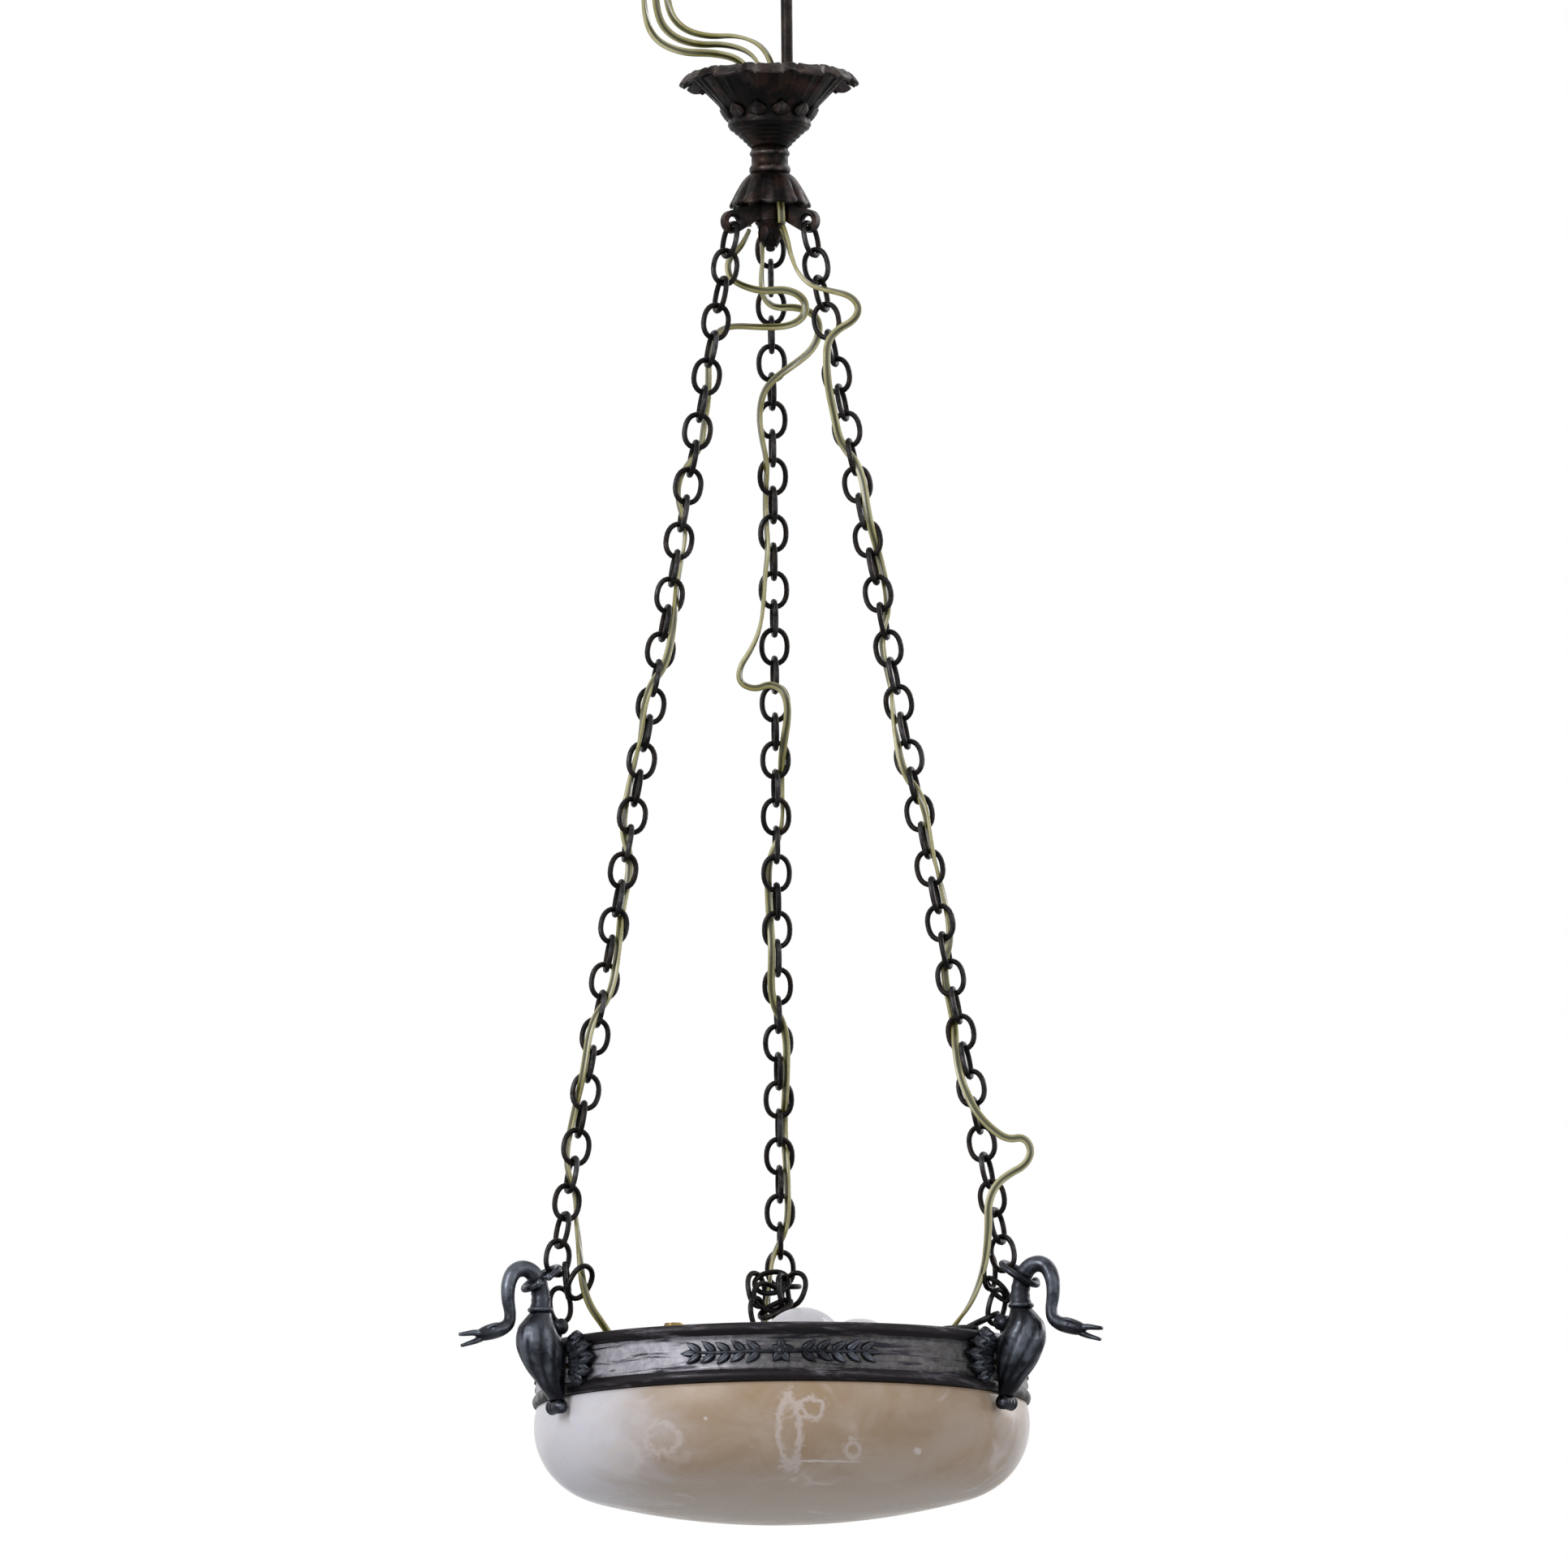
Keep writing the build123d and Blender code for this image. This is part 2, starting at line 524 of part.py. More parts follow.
# ---------------------------------------------------------------- swans
def swan_screw(level, clearance=0.0):
    """Countersunk screw from inside the band, at +X; with clearance it cuts the holes."""
    inner = BAND_RADIUS - BAND_WALL
    sink = (SWAN_SCREW_HEAD - SWAN_SCREW) / 2
    plane = Plane(origin=(inner, 0, level), z_dir=(1, 0, 0))
    cone = extrude(plane * Circle(SWAN_SCREW_HEAD / 2 + clearance), sink, taper=45)
    end = inner + SWAN_SCREW_LENGTH + 2 * clearance
    return cone + pin((inner, 0, level), (end, 0, level), SWAN_SCREW / 2 + clearance)


# Stations up the swan's neck and head: reach, height over the ring's foot, radius.
NECK_LINE = (
    (189.5, 58.0, 7.4), (189.0, 66.0, 6.8), (191.5, 77.5, 6.3), (197.0, 83.8, 6.0),
    (204.0, 85.3, 5.9), (210.5, 82.0, 5.6), (214.3, 74.0, 5.2), (214.8, 64.0, 4.7),
    (213.3, 54.0, 4.2), (214.5, 47.5, 4.4), (219.5, 43.5, 5.0), (225.3, 41.8, 5.7),
    (232.9, 39.5, 5.2), (239.6, 37.4, 3.8),
)
# Stations down the breast: height, middle, half depth and half width.
BREAST_LINE = (
    (55.5, 189.5, 7.4, 7.4), (50.0, 191.5, 10.5, 10.0), (44.0, 192.3, 13.8, 13.0),
    (32.0, 189.5, 17.0, 17.0), (18.0, 186.0, 13.5, 15.5), (6.0, 181.0, 8.7, 11.0),
    (-4.0, 177.0, 4.6, 7.0),
)
# Feathers of a wing spread on the band: sideways, height over the ring's foot, radius.
WING_LOBES = (
    (14.0, 36.0, 7.5), (21.0, 31.0, 6.5), (25.0, 23.5, 6.0), (22.0, 15.0, 5.8), (16.0, 8.5, 5.5),
)
# Beak in the swan's own plane: reach and height over the ring's foot.
BEAK = (
    (237.5, 40.6), (245.0, 40.0), (253.0, 38.6), (253.0, 37.4), (245.0, 36.6), (240.0, 35.6),
    (246.0, 33.6), (251.5, 31.2), (251.0, 29.6), (244.0, 31.0), (237.5, 33.6),
)


def swan_neck():
    """Neck and head of the swan at +X, with an open beak, on a collar over the breast."""
    sections = []
    for i, (reach, height, radius) in enumerate(NECK_LINE):
        ahead = NECK_LINE[min(i + 1, len(NECK_LINE) - 1)]
        behind = NECK_LINE[max(i - 1, 0)]
        along = Vector(ahead[0] - behind[0], 0, ahead[1] - behind[1])
        middle = Vector(reach, 0, RING_FOOT + height)
        plane = Plane(origin=middle, x_dir=(0, 1, 0), z_dir=along)
        sections.append(corner_ring(plane, radius, radius, 12))
    neck = skinned(sections)
    collar = Pos(COLLAR_REACH, 0, RING_FOOT + COLLAR_HEIGHT + 1.8)
    neck += collar * extrude(Circle(COLLAR_RADIUS), 3.2)
    beak = Plane.XZ * make_face(Polyline(*BEAK, close=True))
    return neck + Pos(0, 0, RING_FOOT) * extrude(beak, 1.6, both=True)


def swan_body():
    """Breast and spread wings of the swan at +X, down to a scroll under the band."""
    breast = skinned([
        corner_ring(Plane(origin=(middle, 0, RING_FOOT + height)), depth, width, 16)
        for height, middle, depth, width in BREAST_LINE
    ])
    wings = Pos(0, 24) * Rectangle(30, 32)
    for side in (-1, 1):
        for across, height, radius in WING_LOBES:
            wings += Pos(side * across, height) * Circle(radius)
    behind = Plane(origin=(BAND_RADIUS - 3, 0, RING_FOOT), x_dir=(0, 1, 0), z_dir=(1, 0, 0))
    scroll = Plane(origin=(177.5, 0, RING_FOOT - 8.5), z_dir=(0, 1, 0)) * Circle(5.2)
    boss = Plane(origin=(176.5, 0, RING_TOP + 6.3), z_dir=(0, 1, 0)) * Circle(5.8)
    body = breast + extrude(behind * wings, 10.5)
    body += extrude(scroll, 6.5, both=True)
    body += extrude(boss, 6, both=True)
    clear, proud = BAND_RADIUS + SWAN_CLEARANCE, BAND_RADIUS + SWAN_CLEARANCE + MOULDING
    low, high = RING_FOOT + MOULDING_HEIGHT + 0.3, RING_TOP - MOULDING_HEIGHT - 0.3
    body -= spun([
        (100, BELLY_LEVEL - 40), (proud, BELLY_LEVEL - 40), (proud, low), (clear, low),
        (clear, high), (proud, high), (proud, RING_TOP + 0.3), (100, RING_TOP + 0.3),
    ])
    return body - swan_screw(RING_FOOT + SWAN_SCREW_HEIGHT, HOLE_CLEARANCE)


# ---------------------------------------------------------------- laurel mounts
def leaf(length, width, relief):
    """A ridged leaf lying in XY, pointing along +X, with its back at level 0."""
    mid = length * 0.42
    points = [Vector(0, 0, 0), Vector(mid, width / 2, 0), Vector(length, 0, 0),
              Vector(mid, -width / 2, 0), Vector(mid * 0.5, 0, relief), Vector(mid, 0, relief)]
    sides = ((0, 1, 2, 3), (0, 4, 1), (1, 4, 5), (1, 5, 2), (2, 5, 3), (3, 5, 4), (3, 4, 0))
    return Solid(Shell([
        Face(Wire.make_polygon([points[i] for i in side], close=True)) for side in sides]))


def on_band(shape, turn, level, heading):
    """Lay a flat-backed shape against the band, turned in the band's surface."""
    out = Vector(cos(radians(turn)), sin(radians(turn)), 0)
    aside = Vector(-out.Y, out.X, 0)
    along = aside * cos(radians(heading)) + Vector(0, 0, sin(radians(heading)))
    origin = out * (BAND_RADIUS + SWAN_CLEARANCE) + Vector(0, 0, level)
    return Plane(origin=origin, x_dir=along, z_dir=out).location * shape


def laurel_mount():
    """Two laurel sprays from a rosette, standing off the band at +X."""
    back = BAND_RADIUS + SWAN_CLEARANCE
    level = RING_FOOT + RING_HEIGHT / 2
    reach = LAUREL_SPAN / 2
    stem = make_face(Wire([
        CenterArc((0, 0), back, -reach * 0.86, reach * 1.72),
        Line(Vector(back, 0).rotate(Axis.Z, reach * 0.86),
             Vector(back + LAUREL_RELIEF * 0.6, 0).rotate(Axis.Z, reach * 0.86)),
        CenterArc((0, 0), back + LAUREL_RELIEF * 0.6, -reach * 0.86, reach * 1.72),
        Line(Vector(back, 0).rotate(Axis.Z, -reach * 0.86),
             Vector(back + LAUREL_RELIEF * 0.6, 0).rotate(Axis.Z, -reach * 0.86)),
    ]))
    mount = Pos(0, 0, level) * extrude(stem, 1.3, both=True)
    spray = leaf(LAUREL_LEAF, 6.0, LAUREL_RELIEF)
    spear = leaf(LAUREL_LEAF, 5.0, LAUREL_RELIEF)
    petal = leaf(LAUREL_ROSETTE, 7.0, LAUREL_RELIEF + 0.8)
    for side in (-1, 1):
        for i in range(LAUREL_LEAVES):
            turn = side * reach * (0.20 + 0.62 * i / (LAUREL_LEAVES - 1))
            for lift in (-38, 38):
                mount += on_band(spray, turn, level, lift if side > 0 else 180 - lift)
        mount += on_band(spear, side * reach * 0.81, level, 0 if side > 0 else 180)
    for i in range(5):
        mount += on_band(petal, 0, level, 90 + 72 * i)
    return mount


# ---------------------------------------------------------------- lamp cluster
def lamp_plane(lamp):
    """Frame at a lampholder's foot, its Z along the lamp."""
    turn, tilt = LAMPS[lamp]
    out = Vector(cos(radians(turn)), sin(radians(turn)), 0)
    foot = out * HOLDER_SPREAD + Vector(0, 0, PLATE_TOP + HOLDER_STANDOFF)
    along = out * sin(radians(tilt)) + Vector(0, 0, cos(radians(tilt)))
    return Plane(origin=foot, x_dir=Vector(-out.Y, out.X, 0), z_dir=along)


def lampholder():
    """Holder standing on its foot at the origin, mouth up."""
    body = Pos(0, 0, 14) * extrude(Circle(HOLDER_RADIUS), HOLDER_LENGTH - 14)
    body += loft([Pos(0, 0, 5) * Circle(10), Pos(0, 0, 14) * Circle(HOLDER_RADIUS)], ruled=True)
    body += extrude(Circle(5), 6)
    return body - Pos(0, 0, HOLDER_FLOOR) * extrude(Circle(HOLDER_BORE), HOLDER_LENGTH)


def bulb_cap():
    return Pos(0, 0, CAP_SEAT + LOOSE) * extrude(Circle(CAP_RADIUS), CAP_LENGTH)


def bulb_glass():
    """Blown globe on a short neck, seated on its cap."""
    centre = BULB_REACH - BULB_RADIUS
    foot = CAP_SEAT + LOOSE + CAP_LENGTH + SEAT_GAP
    stations = [(foot, CAP_RADIUS - 1.2), (foot + 10, CAP_RADIUS + 1.5)]
    for angle in (-52, -34, -16, 2, 20, 38, 56, 74):
        stations.append((centre + BULB_RADIUS * sin(radians(angle)),
                         BULB_RADIUS * cos(radians(angle))))
    stations.append((BULB_REACH, 0.8))
    return skinned([
        corner_ring(Plane(origin=(0, 0, height)), radius, radius, 16)
        for height, radius in stations
    ])


def holder_brackets():
    """Bent straps from the plate to the holders' feet, one under each lamp."""
    straps = []
    for lamp, (turn, tilt) in LAMPS.items():
        seat = Pos(HOLDER_SPREAD, 0, PLATE_TOP + HOLDER_STANDOFF) * Rot(0, tilt, 0)
        top = seat * Pos(-2, 0, -BRACKET_THICKNESS / 2 - SEAT_GAP) * Box(
            14, BRACKET_WIDTH, BRACKET_THICKNESS)
        lean = radians(tilt)
        heel = HOLDER_SPREAD - 8 * cos(lean)
        rise = HOLDER_STANDOFF + 8 * sin(lean) - BRACKET_THICKNESS
        riser = Pos(heel, 0, PLATE_TOP + SEAT_GAP + rise / 2) * Box(
            BRACKET_THICKNESS, BRACKET_WIDTH, rise)
        foot = Pos(heel - 5, 0, PLATE_TOP + SEAT_GAP + BRACKET_THICKNESS / 2) * Box(
            12, BRACKET_WIDTH, BRACKET_THICKNESS)
        straps.append(turned(top + riser + foot, turn))
    return straps


def cluster_plate():
    return Pos(0, 0, (PLATE_FOOT + PLATE_TOP) / 2) * Cylinder(PLATE_RADIUS, PLATE_THICKNESS)


def felt_pad():
    level = PLATE_FOOT - LOOSE - FELT_THICKNESS / 2
    return Pos(0, 0, level) * Cylinder(PLATE_RADIUS - 1, FELT_THICKNESS)


# ---------------------------------------------------------------- terminal block
def terminal_block():
    block = Pos(-BLOCK_REACH, 0, BLOCK_LEVEL) * Box(BLOCK_LENGTH, BLOCK_DEPTH, BLOCK_HEIGHT)
    for i in (-1, 0, 1):
        across = i * TERMINAL_PITCH - BLOCK_REACH
        block -= Pos(across, 0, BLOCK_LEVEL) * Cylinder(TERMINAL_BORE, 2 * BLOCK_HEIGHT)
        for level in (-4, 4):
            start = (across, -BLOCK_DEPTH, BLOCK_LEVEL + level)
            end = (across, 0, BLOCK_LEVEL + level)
            block -= pin(start, end, TERMINAL_SCREW / 2 + HOLE_CLEARANCE)
    return block


def terminal_screws():
    screws = []
    for i in (-1, 0, 1):
        across = i * TERMINAL_PITCH - BLOCK_REACH
        for level in (-4, 4):
            start = (across, 0.4 - BLOCK_DEPTH / 2, BLOCK_LEVEL + level)
            end = (across, -TERMINAL_BORE - LOOSE, BLOCK_LEVEL + level)
            screws.append(pin(start, end, TERMINAL_SCREW / 2))
    return screws


# ---------------------------------------------------------------- every piece
save("hanging_hook", hanging_hook())
save("canopy_crown", canopy_crown())
save("crown_strap", crown_strap())
save("crown_nut", crown_nut())
save("neck_tube", neck_tube())
save("husk_bell", husk_bell())
save("lug_hub", lug_hub())
save("finial", finial())
save("terminal_block", terminal_block())
save("terminal_screws", *terminal_screws())

ring, neck, body = neck_ring(), swan_neck(), swan_body()
screw = swan_screw(RING_FOOT + SWAN_SCREW_HEIGHT)
for side, turn in SWAN_TURNS.items():
    save(f"top_link_{side}", chain_link(side, 0))
    last = LINKS - 1 if side == "back" else LINKS
    save(f"chain_{side}", *[chain_link(side, i) for i in range(1, last)])
    save(f"neck_ring_{side}", turned(ring, turn))
    save(f"swan_neck_{side}", turned(neck, turn))
    save(f"swan_body_{side}", turned(body, turn))
save("bottom_link_back", chain_link("back", LINKS - 1))
save("swan_screws", *[turned(screw, turn) for turn in SWAN_TURNS.values()])

save("gallery_ring", gallery_ring())
save("alabaster_bowl", alabaster_bowl())
fixing = rim_screw()
save("rim_screws", *[turned(fixing, RIM_SCREW_TURN + 360 / RIM_SCREWS * i)
                     for i in range(RIM_SCREWS)])
mount = laurel_mount()
for name, turn in LAUREL_TURNS.items():
    save(f"laurel_{name}", turned(mount, turn))

save("felt_pad", felt_pad())
save("cluster_plate", cluster_plate())
save("holder_brackets", *holder_brackets())
holder, cap, glass = lampholder(), bulb_cap(), bulb_glass()
for lamp in LAMPS:
    place = lamp_plane(lamp).location
    save(f"lampholder_{lamp}", place * holder)
    save(f"bulb_cap_{lamp}", place * cap)
    save(f"bulb_glass_{lamp}", place * glass)

print("ring foot", round(RING_FOOT, 2), "bowl floor", round(BOWL_FLOOR, 2))
print("base arc", round(BASE_ARC, 1), "lug seat", round(LUG_SEAT, 2), "chain foot",
      round(CHAIN_FOOT, 2), "pitch", round(PITCH, 3))
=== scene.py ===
"""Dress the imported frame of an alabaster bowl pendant: patinated bronze, a stone bowl hung on
three chains from swans' necks, and gilt twin flexes wound through the links.

Sizes below are in millimetres and become metres when a mesh is made.
"""

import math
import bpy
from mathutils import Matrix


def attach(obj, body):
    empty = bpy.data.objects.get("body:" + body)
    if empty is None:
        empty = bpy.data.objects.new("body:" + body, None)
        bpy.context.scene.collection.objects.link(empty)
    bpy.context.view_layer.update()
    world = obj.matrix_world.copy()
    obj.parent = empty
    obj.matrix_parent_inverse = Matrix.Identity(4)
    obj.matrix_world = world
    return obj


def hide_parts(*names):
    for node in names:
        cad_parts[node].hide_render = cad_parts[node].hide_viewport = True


bl_info = {
    "name": "Alabaster bowl pendant",
    "version": (1, 0, 0),
    "blender": (4, 5, 0),
    "location": "View3D > Sidebar > Pendant",
    "description": "Bronze crown, swans, chains, flexes and a stone bowl around a packed frame",
    "category": "Object",
}

import bmesh
import bpy
import numpy as np
from mathutils import Matrix, Vector

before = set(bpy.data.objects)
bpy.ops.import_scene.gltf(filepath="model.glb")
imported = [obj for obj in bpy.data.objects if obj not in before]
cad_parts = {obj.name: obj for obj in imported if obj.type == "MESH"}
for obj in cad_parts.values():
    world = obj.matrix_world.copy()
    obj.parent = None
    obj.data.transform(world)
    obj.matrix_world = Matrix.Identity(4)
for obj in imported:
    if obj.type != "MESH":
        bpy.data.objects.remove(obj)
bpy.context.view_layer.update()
MM = 0.001
TAU = 2 * math.pi

# ------------------------------------------------------------------ sizes shared by the pieces
SWAN_TURNS = {"left": 210.0, "right": 330.0, "back": 90.0}
CROWN_FOOT = -126.5
NECK_FOOT = -145.05
HUSK_TOP = -145.2
BUD_TOP = -178.35
LUG_SEAT = -181.45
LUG_RADIUS = 30.0
CHAIN_FOOT_RADIUS = 177.0
CHAIN_FOOT = -911.88
RING_FOOT = -999.08
RING_TOP = -959.08
BAND_RADIUS = 168.5
FLANGE_RADIUS = 150.0
BELLY_RADIUS = 120.0
BELLY_LEVEL = -1013.08
BELLY_ARC = 50.0
BASE_ARC = 513.65
BASE_SLOPE = 75.0
BOWL_WALL = 12.0
RIM_RADIUS = 164.8
RIM_TOP = -962.38
LAMP_FOOT = -1052.37
LAMP_REACH = 27.0
LINKS = 38
LINK_PITCH = 19.631
LINK_CROWN = 11.795
LINK_TURNS = {"left": -18.0, "right": 16.0, "back": 8.0}
LAMPS = {"back": (68.5, 8.0), "left": (188.5, 38.0), "right": (308.5, 38.0)}
LAUREL_TURNS = {"right": 30.0, "left": 150.0, "front": 270.0}

# Points of each flex from the terminal block down to the lugs, in millimetres.
TOP_ROUTES = {
    "left": (
        (-86, 0, -12), (-86, 0.2, -33), (-79, 0, -51), (-60, 0, -60), (-38, 0.5, -60),
        (-19, 0, -65), (-10.5, 0, -80), (-10.4, 0.2, -97), (-10.4, 0, -113), (-7.6, 0, -124),
        (-7.4, 0.1, -149), (-14.4, 3.8, -165), (-14.5, 3.9, -181),
    ),
    "back": (
        (-78, 0, -12), (-78, 0.3, -31), (-69, 4, -47), (-50, 5, -54), (-29, 6, -53),
        (-10, 6.5, -60), (-3, 7, -78), (-4, 9, -97), (-4.4, 9.5, -113), (-3.2, 6.9, -124),
        (-3.1, 6.6, -149), (-6.6, 13.5, -165), (-6.7, 13.5, -181),
    ),
    "right": (
        (-70, 0, -12), (-70, -0.3, -29), (-60, -4, -44), (-42, -6, -50), (-21, -7, -49),
        (-3, -7.5, -57), (4, -8, -76), (3.8, -9.2, -96), (3.5, -9.8, -113), (2.6, -7, -124),
        (2.5, -6.9, -149), (7.8, -12.8, -165), (7.8, -12.9, -181),
    ),
}
# And on through one chain, over the rim and to a lampholder.
FLEX_ROUTES = {
    "left": (
        (-14.5, 3.9, -183), (-19, 4, -194), (-30, 2, -204), (-29, -1, -217), (-19.5, -4, -223.6),
        (-5.6, -5, -227.6), (8.9, -5, -226), (19.5, -5, -229.8), (24.4, -5, -237),
        (22.3, -5, -246), (12.3, -5, -252), (-5.6, -5, -252.6), (-28.5, -6, -251),
        (-39, -8, -257), (-43.5, -10, -268), (-43.5, -10.5, -287), (-44, -12.5, -305),
        (-47, -18.5, -322), (-48.6, -25.1, -338.7), (-63.1, -29.5, -355.8), (-66.4, -31.4, -375),
        (-58.6, -31, -396.5), (-67, -33.8, -434.8), (-67.7, -47, -453.3), (-73.6, -49.6, -492.1),
        (-88.2, -53.4, -509.2), (-92.9, -58.6, -547.9), (-99, -49.3, -567.8),
        (-106.6, -54.6, -606), (-98.8, -54.3, -627.4), (-107, -57.1, -665.7),
        (-108.1, -70.4, -684.2), (-113.6, -72.4, -723.1), (-128, -77, -740.2),
        (-133.5, -81.7, -778.8), (-139, -72.2, -798.8), (-147.2, -78.8, -836.8),
        (-139.9, -76.9, -858.3), (-139.5, -76.6, -877), (-137.5, -80.5, -894),
        (-136.5, -84, -911), (-134.5, -86, -926), (-130, -86, -939), (-122, -84, -950),
        (-112, -80, -965), (-99, -76, -986), (-82, -67, -1007), (-65, -54, -1027),
        (-53, -37, -1040), (-49, -28, -1045.5),
    ),
    "right": (
        (8.2, -13.5, -184.1), (11, -19, -192), (13.9, -26, -205.5), (18.5, -32, -219),
        (28, -36, -229), (42.4, -38, -232.4), (55.2, -38, -236), (61, -37, -244), (57, -37, -253),
        (45, -38.5, -259.5), (38.5, -40, -268), (37.6, -40.5, -280), (38.5, -40.5, -298),
        (42.5, -38, -318), (46.6, -33.9, -338.2), (61.1, -38.1, -355.2), (65.8, -43.2, -394),
        (72.4, -34, -413.8), (79.9, -39.2, -452), (72.1, -38.7, -473.4), (80.5, -41.5, -511.7),
        (81.1, -54.7, -530.3), (86.7, -56.7, -569.2), (101, -61.7, -586.2),
        (106.5, -66.3, -624.9), (112.3, -56.9, -644.8), (120.2, -62.7, -682.9),
        (112.6, -61.7, -704.4), (120.8, -64.7, -742.7), (121.3, -77.8, -761.3),
        (123.9, -80.4, -781), (128.5, -87.5, -794), (134, -93.5, -807), (144, -96, -819),
        (156, -97, -828), (167.5, -95, -825.5), (173, -93, -834.5), (168.4, -93, -845),
        (157, -95, -851), (147.5, -98, -859), (142.2, -99, -872), (142.5, -98.5, -886),
        (141.5, -97, -900), (139.5, -93, -914), (135, -88, -928), (129, -81, -940),
        (120.5, -73, -950), (111, -64, -963), (98, -54, -982), (85, -42, -1004), (70, -29, -1024),
        (55, -18, -1038), (43.5, -15.5, -1045),
    ),
    "back": (
        (-6.7, 13.5, -183), (-5, 16, -199), (-7, 18, -214.4), (-5.5, 19, -228.5), (2, 19, -236),
        (17.9, 18, -235), (31.5, 18, -241), (33.5, 19, -254), (27.6, 20, -265.5),
        (17.5, 22, -273.4), (5.1, 26, -281.2), (-5, 31, -290), (-9, 38, -304), (-8, 46, -320),
        (-3.6, 55.2, -338.6), (-5.2, 70.3, -355.6), (-5.3, 74, -374.9), (-3.5, 66.7, -396.4),
        (-6, 71.6, -414), (-7, 74.5, -431), (-9, 76, -449), (-15.5, 77, -465),
        (-24.5, 77.5, -478), (-24.5, 78, -489), (-13.5, 77.7, -493.5), (-3, 77.5, -489),
        (6.5, 79.5, -494), (9.5, 86, -508), (5.3, 95.1, -530.8), (3.5, 110.3, -547.8),
        (5.3, 116.7, -586.6), (-6.3, 119.3, -606), (-5.4, 128.2, -644.3), (-3.4, 120.9, -665.8),
        (-5.2, 130, -704), (6.3, 135.2, -723), (5.2, 141.5, -761.8), (3.6, 156.7, -778.8),
        (3.7, 160.5, -798), (5.2, 153.1, -819.5), (6, 161.8, -857.8), (-5.6, 165.2, -877.2),
        (-7, 163, -892), (-9, 155, -908), (-10, 147, -923), (-11, 138.5, -937), (-10, 128, -950),
        (-6, 113, -965), (0, 96, -985), (7, 80, -1007), (12, 66, -1028), (15.5, 55, -1041),
    ),
}


# ------------------------------------------------------------------ surfaces
def smooth_line(points, count):
    """Catmull-Rom curve through the points: cubic blends of four neighbours, count samples."""
    p = np.asarray(points, float)
    p = np.vstack([2 * p[0] - p[1], p, 2 * p[-1] - p[-2]])
    where = np.linspace(0, len(p) - 3 - 1e-9, count)
    i = where.astype(int)
    t = (where - i)[:, None]
    a, b, c, d = p[i], p[i + 1], p[i + 2], p[i + 3]
    return 0.5 * (2 * b + (c - a) * t + (2 * a - 5 * b + 4 * c - d) * t ** 2
                  + (3 * b - a - 3 * c + d) * t ** 3)


def even_line(points, count):
    """The same curve with its samples at equal distances along it."""
    fine = smooth_line(points, count * 8)
    reach = np.r_[0, np.cumsum(np.linalg.norm(np.diff(fine[:, :2], axis=0), axis=1))]
    at = np.linspace(0, reach[-1], count)
    return np.column_stack([np.interp(at, reach, fine[:, k]) for k in range(fine.shape[1])])


def grid(points, wrap_u=False, wrap_v=False, shade=None, caps=False):
    """Quads between neighbours in a (rows, columns, 3) array; caps closes its end rows."""
    nu, nv = points.shape[:2]
    u = np.arange(nu if wrap_u else nu - 1)
    v = np.arange(nv if wrap_v else nv - 1)
    u, v = np.meshgrid(u, v, indexing="ij")
    un, vn = (u + 1) % nu, (v + 1) % nv
    faces = np.stack([u * nv + v, un * nv + v, un * nv + vn, u * nv + vn], -1).reshape(-1, 4)
    faces = faces.tolist()
    if caps:
        faces.append(list(range(nv)))
        faces.append(list(range((nu - 1) * nv, nu * nv))[::-1])
    tone = np.zeros((nu, nv)) if shade is None else np.broadcast_to(shade, (nu, nv))
    return points.reshape(-1, 3), faces, tone.reshape(-1)


def joined(*shapes):
    """Several (points, faces, tone) shapes as one."""
    points, faces, tones, base = [], [], [], 0
    for p, f, t in shapes:
        points.append(p)
        faces += [[i + base for i in face] for face in f]
        tones.append(t)
        base += len(p)
    return np.concatenate(points), faces, np.concatenate(tones)


def turned(shape, degrees):
    """The shape carried round the pendant's axis, as a turn of x and y."""
    points, faces, tone = shape
    c, s = math.cos(math.radians(degrees)), math.sin(math.radians(degrees))
    return points @ np.array([[c, s, 0], [-s, c, 0], [0, 0, 1]]), faces, tone


def around(profile, steps, swell=None, shade=None):
    """A closed (radius, level) outline turned about Z; swell(turn) adds to radius and level."""
    turn = np.arange(steps) / steps * TAU
    r = np.broadcast_to(profile[:, 0], (steps, len(profile))).copy()
    z = np.broadcast_to(profile[:, 1], (steps, len(profile))).copy()
    if swell is not None:
        dr, dz = swell(turn[:, None])
        r, z = r + dr, z + dz
    points = np.stack([r * np.cos(turn)[:, None], r * np.sin(turn)[:, None], z], -1)
    return grid(points, True, True, shade)


def frames_along(path, closed=False):
    """Tangent, side and lift at each point, carried along without twist."""
    ahead = np.roll(path, -1, 0) if closed else np.vstack([path[1:], 2 * path[-1] - path[-2]])
    behind = np.roll(path, 1, 0) if closed else np.vstack([2 * path[0] - path[1], path[:-1]])
    tangent = ahead - behind
    tangent /= np.linalg.norm(tangent, axis=1)[:, None]
    side = np.empty_like(path)
    first = np.cross(tangent[0], (0, 0, 1) if abs(tangent[0][2]) < 0.9 else (1, 0, 0))
    side[0] = first / np.linalg.norm(first)
    for i in range(1, len(path)):
        step = side[i - 1] - tangent[i] * (side[i - 1] @ tangent[i])
        side[i] = step / np.linalg.norm(step)
    return tangent, side, np.cross(tangent, side)


def swept(path, across, up, steps=12, shade=None):
    """An oval section, half sizes across and up, carried along a path and closed at both ends."""
    path = np.asarray(path, float)
    _, side, lift = frames_along(path)
    angle = np.arange(steps) / steps * TAU
    a = np.broadcast_to(np.asarray(across, float), (len(path),))[:, None]
    b = np.broadcast_to(np.asarray(up, float), (len(path),))[:, None]
    x, y = a * np.cos(angle), b * np.sin(angle)
    points = path[:, None] + side[:, None] * x[..., None] + lift[:, None] * y[..., None]
    return grid(points, False, True, shade, caps=True)


